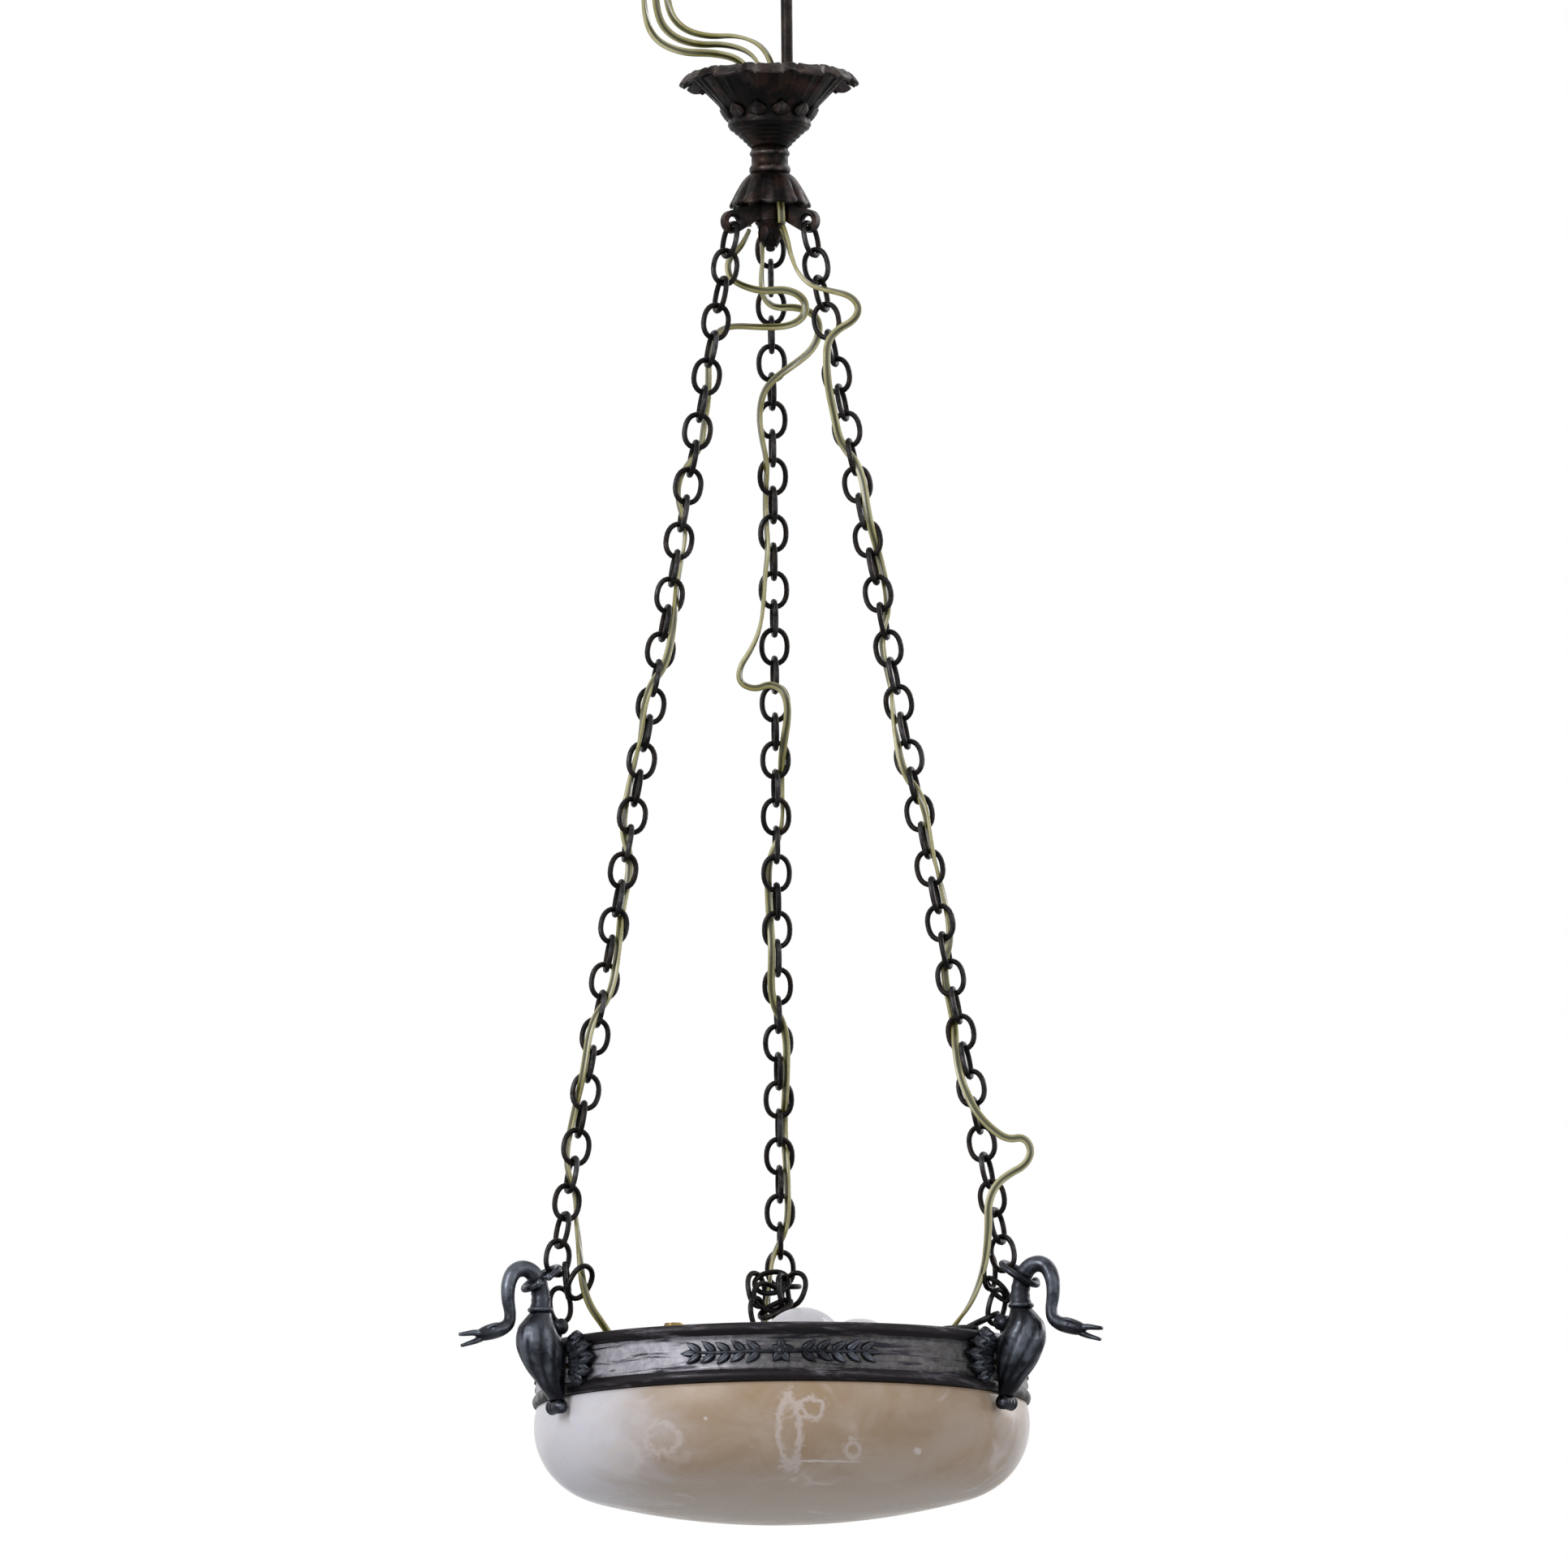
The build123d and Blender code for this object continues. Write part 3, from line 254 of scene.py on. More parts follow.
def ball(centre, radius, steps=12, squash=(1, 1, 1)):
    """A sphere or ellipsoid: rings of latitude between two poles."""
    turn = np.arange(steps) / steps * TAU
    rise = np.linspace(-math.pi / 2, math.pi / 2, steps // 2 + 1)
    x = np.cos(turn)[:, None] * np.cos(rise)
    y = np.sin(turn)[:, None] * np.cos(rise)
    z = np.broadcast_to(np.sin(rise), x.shape)
    points = np.stack([x, y, z], -1) * radius * np.asarray(squash) + np.asarray(centre, float)
    return grid(points, True, False, 0.8)


def leaf(length, width, relief, lobes=0, curl=0.0, ribs=2, along=18, across=9, blunt=False):
    """A closed leaf lying along +x: half width w(s) = sin^q(pi s^p), p, q = 0.8, 0.7, or 1.5, 0.5
    if blunt, with lobed edges, a domed face with a sunk midrib and side ribs, a flat back, and an
    upward curl of the tip."""
    s = np.linspace(0, 1, along)[:, None]
    v = np.linspace(-1, 1, across)[None, :]
    p, q = (1.5, 0.5) if blunt else (0.8, 0.7)
    half = width / 2 * np.clip(np.sin(math.pi * s ** p), 0, 1) ** q
    if lobes:
        half = half * (1 - 0.22 * np.abs(np.sin(math.pi * lobes * s)) ** 3 * (s > 0.12))
    x = length * (s - 0.10 * np.abs(v) ** 1.5 * s)
    x = np.broadcast_to(x, (along, across))
    y = half * v
    dome = np.sin(math.pi * np.clip(s, 0.0, 1)) ** 0.5
    rib = 0.16 * np.abs(np.sin(math.pi * (ribs * s * 2 + np.abs(v) * 1.3)))
    face = relief * dome * ((1 - np.abs(v) ** 2.2) * (1 - rib) - 0.34 * np.exp(-(v / 0.16) ** 2))
    lift = curl * s ** 2.5
    top = np.stack([x, y, np.maximum(face, 0.03) + lift], -1)
    back = np.stack([x, y, np.zeros_like(face) + lift * 0.9], -1)[:, ::-1]
    ridge = np.clip(face / relief, 0, 1)
    return grid(np.concatenate([top, back], 1), False, True,
                np.concatenate([ridge, ridge[:, ::-1] * 0], 1), caps=True)


def turned_flat(shape, degrees, dx=0.0, dy=0.0, dz=0.0):
    """A flat-lying shape turned in its own plane and moved."""
    points, faces, tone = turned(shape, degrees)
    return points + np.array([dx, dy, dz]), faces, tone


def on_band(shape, degrees, level, radius=BAND_RADIUS + 0.2):
    """Bend a shape round the band: x runs round it, y up it and z out from it."""
    points, faces, tone = shape
    angle = math.radians(degrees) + points[:, 0] / radius
    out = radius + points[:, 2]
    bent = np.stack([out * np.cos(angle), out * np.sin(angle), level + points[:, 1]], -1)
    return bent, faces, tone


# ------------------------------------------------------------------ meshes and finishes
def piece(name, shape, body, material, replaces=(), weld=True):
    """Put a shape into a mesh in metres, facing outwards, riding on a body."""
    points, faces, tone = shape
    mesh = bpy.data.meshes.new(name)
    mesh.from_pydata((points * MM).tolist(), [], faces)
    mark = mesh.attributes.new("relief", "FLOAT", "POINT")
    mark.data.foreach_set("value", np.asarray(tone, np.float32))
    if weld:
        work = bmesh.new()
        work.from_mesh(mesh)
        bmesh.ops.remove_doubles(work, verts=work.verts, dist=2e-6)
        bmesh.ops.dissolve_degenerate(work, edges=work.edges, dist=1e-7)
        bmesh.ops.recalc_face_normals(work, faces=work.faces)
        work.to_mesh(mesh)
        work.free()
    mesh.shade_smooth()
    obj = bpy.data.objects.new(name, mesh)
    bpy.context.scene.collection.objects.link(obj)
    mesh.materials.append(material)
    if replaces:
        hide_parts(*replaces)
    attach(obj, body)
    return obj


def linear(red, green, blue):
    """A colour seen on screen, 0 to 255, as the linear colour that gives it."""
    return tuple((c / 255) ** 2.2 for c in (red, green, blue)) + (1.0,)


class Finish:
    """A material under construction: its nodes, and short ways to add and join them."""

    def __init__(self, name, roughness=0.5, metallic=0.0, **sockets):
        self.material = bpy.data.materials.get(name) or bpy.data.materials.new(name)
        self.material.use_nodes = True
        self.tree = self.material.node_tree
        self.shader = self.tree.nodes["Principled BSDF"]
        self.shader.inputs["Roughness"].default_value = roughness
        self.shader.inputs["Metallic"].default_value = metallic
        for socket, value in sockets.items():
            self.shader.inputs[socket.replace("_", " ")].default_value = value
        self.place = self.tree.nodes.new("ShaderNodeTexCoord").outputs["Object"]

    def node(self, kind, **settings):
        node = self.tree.nodes.new("ShaderNode" + kind)
        for key, value in settings.items():
            setattr(node, key, value)
        return node

    def join(self, source, target):
        self.tree.links.new(source, target)

    def stretched(self, scale):
        """Object coordinates scaled differently along each axis."""
        mapping = self.node("Mapping")
        mapping.inputs["Scale"].default_value = scale
        self.join(self.place, mapping.inputs["Vector"])
        return mapping.outputs["Vector"]

    def noise(self, scale, detail=4.0, rough=0.55, vector=None, twist=0.0):
        node = self.node("TexNoise")
        node.inputs["Scale"].default_value = scale
        node.inputs["Detail"].default_value = detail
        node.inputs["Roughness"].default_value = rough
        node.inputs["Distortion"].default_value = twist
        self.join(vector or self.place, node.inputs["Vector"])
        return node.outputs["Fac"]

    def ramp(self, source, low, high, out_low=0.0, out_high=1.0):
        node = self.node("MapRange", interpolation_type="SMOOTHSTEP")
        node.inputs["From Min"].default_value = low
        node.inputs["From Max"].default_value = high
        node.inputs["To Min"].default_value = out_low
        node.inputs["To Max"].default_value = out_high
        self.join(source, node.inputs["Value"])
        return node.outputs["Result"]

    def maths(self, operation, a, b=None):
        node = self.node("Math", operation=operation)
        for socket, value in zip(node.inputs, (a, b)):
            if isinstance(value, (int, float)):
                socket.default_value = value
            elif value is not None:
                self.join(value, socket)
        return node.outputs[0]

    def mixed(self, factor, first, second):
        node = self.node("Mix", data_type="RGBA")
        self.join(factor, node.inputs[0])
        for socket, value in ((node.inputs[6], first), (node.inputs[7], second)):
            if isinstance(value, tuple):
                socket.default_value = value
            else:
                self.join(value, socket)
        return node.outputs[2]

    def attribute(self, name):
        return self.node("Attribute", attribute_name=name).outputs["Fac"]

    def axis(self, which):
        node = self.node("SeparateXYZ")
        self.join(self.place, node.inputs[0])
        return node.outputs[which]

    def colour(self, source):
        self.join(source, self.shader.inputs["Base Color"])

    def rough(self, source):
        self.join(source, self.shader.inputs["Roughness"])

    def bump(self, source, strength, distance):
        node = self.node("Bump")
        node.inputs["Strength"].default_value = strength
        node.inputs["Distance"].default_value = distance
        self.join(source, node.inputs["Height"])
        self.join(node.outputs["Normal"], self.shader.inputs["Normal"])


def bronze(name, dark, warm, worn, wear=0.5, roughness=0.42, scale=60.0):
    """Patinated bronze: near-black mottled with brown, rubbed pale where the relief stands up."""
    f = Finish(name, roughness, 0.82)
    mottle = f.ramp(f.noise(scale, 6.0, 0.6, twist=0.6), 0.42, 0.66)
    base = f.mixed(mottle, dark, warm)
    rubbed = f.maths("MULTIPLY", f.ramp(f.attribute("relief"), 0.25, 0.95),
                     f.ramp(f.noise(scale * 1.6, 5.0, 0.6), 0.30, 0.70))
    scuffs = f.ramp(f.noise(scale * 0.45, 6.0, 0.6, twist=0.8), 0.52, 0.80, 0.0, 0.40)
    worn_here = f.maths("MULTIPLY", f.maths("MAXIMUM", rubbed, scuffs), wear)
    f.colour(f.mixed(worn_here, base, worn))
    f.rough(f.ramp(f.noise(scale * 4, 4.0), 0.3, 0.7, roughness - 0.12, roughness + 0.16))
    grain = f.maths("ADD", f.noise(scale * 12, 3.0), f.maths("MULTIPLY", mottle, 0.5))
    f.bump(grain, 0.14, 0.0005)
    return f.material


def band_bronze():
    """The band: painted light makes it silvery at the left and painted shade makes it darker to the
    right, with dark streaks that run round it, and dark mouldings whose crests are rubbed."""
    f = Finish("rubbed_and_side_lit_band", 0.4, 0.75)
    streaks = f.noise(1.0, 7.0, 0.7, vector=f.stretched((22.0, 22.0, 230.0)), twist=0.5)
    specks = f.noise(240.0, 5.0, 0.7)
    x = f.maths("ADD", f.axis("X"), f.maths("MULTIPLY", f.noise(14.0, 3.0), 0.05))
    # Painted light and shade: the band is lit silvery at the left and shaded darker towards the
    # right.
    painted_shade_rightward = f.ramp(x, -0.10, 0.05)
    light = f.mixed(f.ramp(specks, 0.35, 0.7), linear(150, 150, 160), linear(182, 178, 186))
    dim = f.mixed(f.ramp(specks, 0.35, 0.7), linear(72, 70, 70), linear(98, 96, 98))
    plain = f.mixed(painted_shade_rightward, light, dim)
    scored = f.mixed(f.ramp(streaks, 0.50, 0.63), plain, linear(40, 38, 46))
    rubbing = f.noise(1.0, 6.0, 0.7, f.stretched((18.0, 18.0, 160.0)), 0.5)
    crest = f.mixed(f.ramp(rubbing, 0.50, 0.74), linear(38, 35, 38), linear(112, 108, 116))
    f.colour(f.mixed(f.attribute("relief"), crest, scored))
    f.rough(f.ramp(f.noise(120.0, 4.0), 0.3, 0.7, 0.3, 0.52))
    f.bump(f.maths("ADD", streaks, f.maths("MULTIPLY", specks, 0.5)), 0.3, 0.0005)
    return f.material


STONE_RINGS = (
    (-81.6, -1035.4, 10.0, 10.0, 0.8), (-106.7, -1045.7, 9.0, 8.5, 0.9),
    (5.0, -1033.6, 7.5, 22.0, 0.9), (21.0, -1018.0, 7.0, 7.0, 0.9), (48.0, -1045.0, 5.6, 5.6, 0.8),
)
STONE_SPOTS = ((92.5, -1044.0, 3.2, 3.2), (-52.0, -1024.0, 2.0, 1.8), (28.0, -1052.5, 27.0, 0.9))


def alabaster():
    """Stone honey brown across the front, with pale ringed veins; painted light pales it to a
    cloudy white at the left, and a painted reflection pales its right edge.
    """
    settings = bpy.context.scene.pendant_stone
    f = Finish("alabaster", 0.3, 0.0, Subsurface_Weight=0.12, Subsurface_Scale=0.006,
               Specular_IOR_Level=0.32, IOR=1.42)
    f.shader.inputs["Subsurface Radius"].default_value = (1.0, 0.7, 0.5)
    cloud = f.noise(9.0, 5.0, 0.6, twist=1.6)
    x = f.maths("ADD", f.axis("X"), f.maths("MULTIPLY", f.maths("SUBTRACT", cloud, 0.5), 0.10))
    # Painted light and reflection: the stone turns pale at the left and along the right edge,
    # keeping its honey brown between them.
    honey = f.maths("MULTIPLY", f.ramp(x, -0.15, -0.06), f.ramp(x, 0.21, 0.14))
    depth = f.ramp(f.noise(18.0, 6.0, 0.6, twist=0.9), 0.22, 0.78)
    brown = f.mixed(depth, tuple(settings.honey) + (1.0,), linear(186, 168, 152))
    pale = f.mixed(depth, tuple(settings.pale) + (1.0,), linear(222, 218, 222))
    stone = f.mixed(honey, pale, brown)
    low = f.ramp(f.axis("Z"), -1.045, -1.075, 0.0, 0.45)
    stone = f.mixed(low, stone, linear(184, 172, 162))
    warp = f.maths("MULTIPLY", f.maths("SUBTRACT", f.noise(95.0, 6.0, 0.62, twist=1.0), 0.5), 2.1)
    front = f.ramp(f.axis("Y"), 0.0, -0.02)
    marks = None
    for cx, cz, rx, rz, strength in STONE_RINGS + tuple(s + (0.0,) for s in STONE_SPOTS):
        mapping = f.node("Mapping")
        mapping.inputs["Location"].default_value = (-cx / rx, 0, -cz / rz)
        mapping.inputs["Scale"].default_value = (1 / (rx * MM), 0, 1 / (rz * MM))
        f.join(f.place, mapping.inputs["Vector"])
        length = f.node("VectorMath", operation="LENGTH")
        f.join(mapping.outputs["Vector"], length.inputs[0])
        away = f.maths("ADD", length.outputs["Value"], warp)
        if strength:
            rim = f.maths("ABSOLUTE", f.maths("SUBTRACT", away, 1.0))
            mark = f.ramp(rim, 0.42, 0.02, 0.0, strength * 0.72)
        else:
            mark = f.ramp(away, 1.1, 0.5, 0.0, 0.9)
        marks = mark if marks is None else f.maths("MAXIMUM", marks, mark)
    veins = f.node("TexVoronoi", feature="DISTANCE_TO_EDGE")
    veins.inputs["Scale"].default_value = 13.0
    bent = f.node("VectorMath", operation="ADD")
    wander = f.node("TexNoise")
    wander.inputs["Scale"].default_value = 24.0
    scaled = f.node("VectorMath", operation="SCALE")
    scaled.inputs["Scale"].default_value = 0.05
    f.join(f.place, wander.inputs["Vector"])
    f.join(wander.outputs["Color"], scaled.inputs[0])
    f.join(f.place, bent.inputs[0])
    f.join(scaled.outputs["Vector"], bent.inputs[1])
    f.join(bent.outputs["Vector"], veins.inputs["Vector"])
    threads = f.maths("MULTIPLY", f.ramp(veins.outputs["Distance"], 0.05, 0.0, 0.0, 0.55),
                      f.ramp(f.noise(17.0, 4.0), 0.50, 0.66))
    marks = f.maths("MAXIMUM", f.maths("MULTIPLY", marks, front), threads)
    f.colour(f.mixed(marks, stone, linear(214, 202, 198)))
    f.rough(f.ramp(depth, 0.0, 1.0, 0.2, 0.34))
    f.bump(f.noise(160.0, 3.0), 0.04, 0.0004)
    return f.material


def flex_sleeve():
    """Old translucent sleeve over golden cores: olive gold with noise patches of paler gold as
    painted highlight, and paler along the crown of each core.
    """
    settings = bpy.context.scene.pendant_flex
    f = Finish("gilt_sleeve", 0.28, 0.0, Coat_Weight=0.6, Coat_Roughness=0.15)
    highlight_drift = f.noise(26.0, 5.0, 0.6)
    # Painted highlight: patches of paler gold scattered by noise over the sleeve colour.
    base = f.mixed(f.ramp(highlight_drift, 0.35, 0.7), tuple(settings.colour) + (1.0,), linear(196, 190, 146))
    f.colour(f.mixed(f.ramp(f.attribute("relief"), 0.2, 1.0), linear(62, 62, 30), base))
    f.bump(f.noise(420.0, 2.0), 0.12, 0.0003)
    return f.material


def plain_finish(name, low, high, scale, roughness, metallic=0.0, bump=0.1, **sockets):
    """A finish of two close tones mixed by noise, with a fine grain."""
    f = Finish(name, roughness, metallic, **sockets)
    tone = f.noise(scale, 5.0, 0.6)
    f.colour(f.mixed(f.ramp(tone, 0.35, 0.65), low, high))
    f.rough(f.ramp(f.noise(scale * 3, 3.0), 0.3, 0.7, roughness * 0.8, roughness * 1.2))
    f.bump(f.noise(scale * 9, 3.0), bump, 0.0004)
    return f.material


BRONZES = {
    "crown": (linear(22, 20, 20), linear(52, 38, 32), linear(120, 112, 110), 0.55, 0.42),
    "swan": (linear(26, 26, 31), linear(52, 53, 60), linear(140, 147, 160), 0.55, 0.32, 38),
    "wire": (linear(20, 20, 20), linear(38, 32, 28), linear(110, 108, 112), 0.45, 0.4, 90),
}


def patina(part):
    """One of the shared bronzes, made when it is first asked for."""
    name = f"{part}_patina"
    return bpy.data.materials.get(name) or bronze(name, *BRONZES[part])


# ------------------------------------------------------------------ sizes and colours to change
class PendantStage(bpy.types.PropertyGroup):
    distance: bpy.props.FloatProperty(
        name="Camera distance", description="From the middle of the pendant to the lens",
        default=20.0, min=2.0, unit="LENGTH")
    elevation: bpy.props.FloatProperty(
        name="Camera elevation", description="Above the pendant's middle; below when negative",
        default=math.radians(-7.2), subtype="ANGLE")
    tilt: bpy.props.FloatProperty(
        name="Camera tilt", description="How far the picture leans", default=math.radians(0.55),
        subtype="ANGLE")
    field: bpy.props.FloatProperty(
        name="Field", description="Height of the picture at the pendant", default=1.0784,
        unit="LENGTH")


class PendantChain(bpy.types.PropertyGroup):
    wire: bpy.props.FloatProperty(
        name="Wire", description="Radius of a link's wire, mm", default=1.9, min=0.5)
    half_width: bpy.props.FloatProperty(
        name="Half width", description="Middle of a link's wire to its axis, mm", default=8.9)
    squareness: bpy.props.FloatProperty(
        name="Squareness", description="2 for an oval link, more for straight sides", default=2.25)


class PendantFlex(bpy.types.PropertyGroup):
    width: bpy.props.FloatProperty(
        name="Width", description="Across both cores, mm", default=5.4, min=1.0)
    thickness: bpy.props.FloatProperty(
        name="Thickness", description="Through one core, mm", default=3.0, min=0.5)
    colour: bpy.props.FloatVectorProperty(
        name="Colour", description="Sleeve over the golden cores", subtype="COLOR", size=3,
        default=linear(138, 130, 66)[:3])


class PendantStone(bpy.types.PropertyGroup):
    # pale is the cloudy white painted on the bowl's left side and right edge as light and
    # reflection; honey is the stone's own brown.
    pale: bpy.props.FloatVectorProperty(
        name="Pale stone", description="Cloudy white of the bowl's left side", subtype="COLOR",
        size=3, default=linear(216, 216, 228)[:3])
    honey: bpy.props.FloatVectorProperty(
        name="Honey stone", description="Brown of the bowl's front", subtype="COLOR", size=3,
        default=linear(166, 140, 112)[:3])


# ------------------------------------------------------------------ placing
def stood(shape, degrees, radius, level, slope, offset=0.0):
    """Stand a flat-lying shape on a cone: its x climbs outwards at slope, its z faces away."""
    points, faces, tone = shape
    c, s = math.cos(math.radians(slope)), math.sin(math.radians(slope))
    out = radius + points[:, 0] * c + (points[:, 2] + offset) * s
    up = level + points[:, 0] * s - (points[:, 2] + offset) * c
    return turned((np.stack([out, points[:, 1], up], -1), faces, tone), degrees)


def chain_frame(side, number):
    """Centre of a link, the way across it and the way down its chain."""
    turn = math.radians(SWAN_TURNS[side])
    out = np.array([math.cos(turn), math.sin(turn), 0.0])
    lean = math.atan2(CHAIN_FOOT_RADIUS - LUG_RADIUS, LUG_SEAT - CHAIN_FOOT)
    down = out * math.sin(lean) - np.array([0, 0, math.cos(lean)])
    centre = out * LUG_RADIUS + np.array([0, 0, LUG_SEAT]) + down * (
        LINK_CROWN + number * LINK_PITCH)
    ease = min(1, number / 5, (LINKS - 1 - number) / 5)
    spin = 90 * (number + 1) + LINK_TURNS[side] * ease
    spin = -math.radians(spin + 2 * math.sin(1.3 * number + SWAN_TURNS[side]) * ease)
    across = out - down * (down @ out)
    across /= np.linalg.norm(across)
    across = across * math.cos(spin) + np.cross(down, across) * math.sin(spin)
    return centre, across, down


def superellipse(half_width, half_length, power, steps, start=0.0, end=TAU):
    """x = a |cos|^(2/n) sign cos and y = b |sin|^(2/n) sign sin, from one angle to another."""
    t = np.linspace(start, end, steps, endpoint=end - start < TAU - 1e-6)
    x = half_width * np.sign(np.cos(t)) * np.abs(np.cos(t)) ** (2 / power)
    y = half_length * np.sign(np.sin(t)) * np.abs(np.sin(t)) ** (2 / power)
    return np.stack([x, y], -1)


def link(centre, across, down, settings, number=0):
    """One closed link: wire swept round a superellipse, its outer side rubbed."""
    loop = superellipse(settings.half_width, LINK_CROWN, settings.squareness, 26)
    face = np.cross(across, down)
    line = loop[:, :1] * across + loop[:, 1:] * down
    ahead = np.roll(line, -1, 0) - np.roll(line, 1, 0)
    ahead /= np.linalg.norm(ahead, axis=1)[:, None]
    outward = np.cross(ahead, face)
    turn = np.arange(7) / 7 * TAU
    ring = outward[:, None] * np.cos(turn)[:, None] + face * np.sin(turn)[:, None]
    points = centre + line[:, None] + ring * settings.wire
    rub = np.clip(np.abs(loop[:, 0]) / settings.half_width, 0, 1)[:, None]
    tone = (0.5 + 0.5 * np.cos(turn)[None]) * rub * (0.75 + 0.25 * math.sin(number * 2.1))
    return grid(points, True, True, tone)


# ------------------------------------------------------------------ hub pieces
def make_crown():
    """Twelve drooping petals: the lip falls back and the panel lifts at each notch, with a ridge
    either side of it, on a ringed cone; a calyx of small leaves round the waist."""
    outer = even_line([(13.4, CROWN_FOOT), (17.8, -122.0), (23.6, -116.6), (28.5, -112.0),
                       (29.0, -105.0), (38.6, -92.6), (52.0, -79.2), (57.0, -80.4),
                       (60.5, -84.3)], 64)
    inner = even_line([(62.1, -83.1), (58.0, -78.0), (52.0, -76.6), (37.2, -90.4), (26.6, -104.0),
                       (26.1, -111.0), (11.0, -121.5), (11.0, CROWN_FOOT)], 44)
    profile = np.vstack([outer, inner])

    def swell(turn):
        r, z = profile[None, :, 0], profile[None, :, 1]
        reach = np.clip((r - 31.0) / 30.0, 0, 1) * (z > -104.5)
        wave = np.cos(12 * turn)
        notch = np.clip((0.25 - wave) / 1.25, 0, 1) ** 1.5
        ridge = np.exp(-((wave + 0.35) / 0.22) ** 2)
        rings = np.where((z < -112.5) & (r > 14), 0.45 * np.sin(z * 2.3), 0)
        dr = -6.0 * notch * reach ** 5 + 0.5 * ridge * reach ** 0.5 + rings
        dz = 3.4 * notch * reach ** 4 - 1.5 * ridge * np.minimum(1, reach * 2) \
            + 0.9 * (1 - np.abs(wave)) * reach
        return dr, dz

    steps = 240
    turn = np.arange(steps) / steps * TAU
    ridge = np.exp(-((np.cos(12 * turn) + 0.35) / 0.3) ** 2)[:, None]
    lip = np.clip((profile[:, 0] - 50) / 10, 0, 1)[None]
    grow = np.clip((profile[:, 0] - 33) / 16, 0, 1)[None] * (profile[:, 1] > -104)
    base = around(profile, steps, swell, np.clip(0.12 + 0.4 * ridge * grow + 0.5 * lip, 0, 1))
    small = leaf(12.0, 13.0, 1.0, curl=0.3, ribs=2, along=12, across=7)
    calyx = [stood(small, 15 + 30 * i, 28.4, -108.0, 57.0, 0.5) for i in range(12)]
    piece("crown", joined(base, *calyx), "hub", patina("crown"),
          ("canopy_crown",))


def make_stem():
    """Neck with beads, fluted bell of twelve rounded husk leaves, and a leafy bud below the hub."""
    neck = np.array([(11, -126.6), (12.6, -126.6), (12.8, -129.0), (13.7, -130.0), (13.9, -131.2),
                     (13.3, -132.4), (12.6, -133.2), (12.6, -139.0), (13.4, -139.7),
                     (14.2, -141.4), (14.2, -143.2), (13.4, NECK_FOOT), (11, NECK_FOOT)], float)
    tone = np.array([0, 0, .2, .6, .9, .5, .1, .1, .5, .9, .9, .4, 0])
    piece("neck", around(neck, 64, None, tone), "hub", patina("crown"),
          ("neck_tube",))
    outer = even_line([(10.6, HUSK_TOP), (13.6, HUSK_TOP), (18.2, -149.2), (22.6, -156.0),
                       (25.8, -162.0), (28.2, -167.0), (27.6, -168.9)], 34)
    inner = even_line([(26.2, -169.0), (24.4, -165.0), (20.6, -157.6), (12.4, -148.3),
                       (10.6, -147.8)], 20)
    bell = np.vstack([outer, inner])

    def flute(turn):
        z = bell[None, :, 1]
        low = np.clip((-147.5 - z) / 12, 0, 1)
        bow = np.abs(np.cos(6 * turn)) ** 0.6
        return -1.5 * (1 - bow) * low, 2.1 * (1 - bow) * np.clip((-163 - z) / 6, 0, 1)

    turn = np.arange(192) / 192 * TAU
    tone = np.abs(np.cos(6 * turn))[:, None] ** 2 * np.linspace(0.3, 1, len(bell))[None]
    piece("husk", around(bell, 192, flute, tone), "hub", patina("crown"),
          ("husk_bell",))
    drop = np.array([(0.0, BUD_TOP), (10.4, BUD_TOP), (10.6, -179.4), (9.6, -180.6), (8.0, -182.6),
                     (7.7, -184.0), (8.3, -187.0), (7.9, -190.4), (6.2, -193.4), (3.6, -195.4),
                     (3.2, -196.4), (3.4, -197.4), (2.2, -198.8), (0.0, -199.3)], float)
    turn = np.arange(48) / 48 * TAU
    points = np.stack([drop[:, 0] * np.cos(turn)[:, None], drop[:, 0] * np.sin(turn)[:, None],
                       np.broadcast_to(drop[:, 1], (48, len(drop)))], -1)
    bud = grid(points, True, False, 0.3)
    high = leaf(12.5, 8.6, 2.0, lobes=2, curl=1.3, along=12, across=7)
    low = leaf(10.5, 7.6, 1.7, lobes=2, curl=0.8, along=12, across=7)
    leaves = [stood(high, 60 * i, 8.2, -181.4, -85, 0.1) for i in range(6)]
    leaves += [stood(low, 30 + 60 * i, 8.0, -186.6, -104, 0.1) for i in range(6)]
    piece("bud", joined(bud, *leaves), "hub", patina("crown"), ("finial",))


# ------------------------------------------------------------------ chains
def make_chains():
    """Each chain's links, its first on a body of its own, the back chain's last on one too, and the
    open neck rings.
    """
    settings = bpy.context.scene.pendant_chain
    for side in SWAN_TURNS:
        numbers = range(1, LINKS - 1 if side == "back" else LINKS)
        links = [link(*chain_frame(side, n), settings, n) for n in numbers]
        piece(f"links_{side}", joined(*links), f"hanging_{side}", patina("wire"),
              (f"chain_{side}",), weld=False)
        piece(f"first_link_{side}", link(*chain_frame(side, 0), settings), f"upper_{side}",
              patina("wire"), (f"top_link_{side}",), weld=False)
    piece("last_link_back", link(*chain_frame("back", LINKS - 1), settings), "lower_back",
          patina("wire"), ("bottom_link_back",), weld=False)
    slope = math.radians(34.3)
    down = np.array([math.cos(slope), 0, -math.sin(slope)])
    centre = np.array([CHAIN_FOOT_RADIUS, 0, CHAIN_FOOT]) + down * 14.02
    loop = superellipse(11.62, 14.02, 2.15, 44, math.radians(38), math.radians(362))
    line = centre + loop[:, :1] * np.array([0, 1, 0]) + loop[:, 1:] * down
    wire = np.full(44, 2.38)
    wire[-6:] = np.linspace(2.38, 2.0, 6)
    ring = joined(swept(line, wire, wire, 10, 0.55), ball(line[0] + (line[0] - line[1]) * 0.3, 3.1),
                  ball(line[-1], 2.5))
    for side, turn in SWAN_TURNS.items():
        piece(f"open_ring_{side}", turned(ring, turn), "bowl", patina("swan"),
              (f"neck_ring_{side}",))


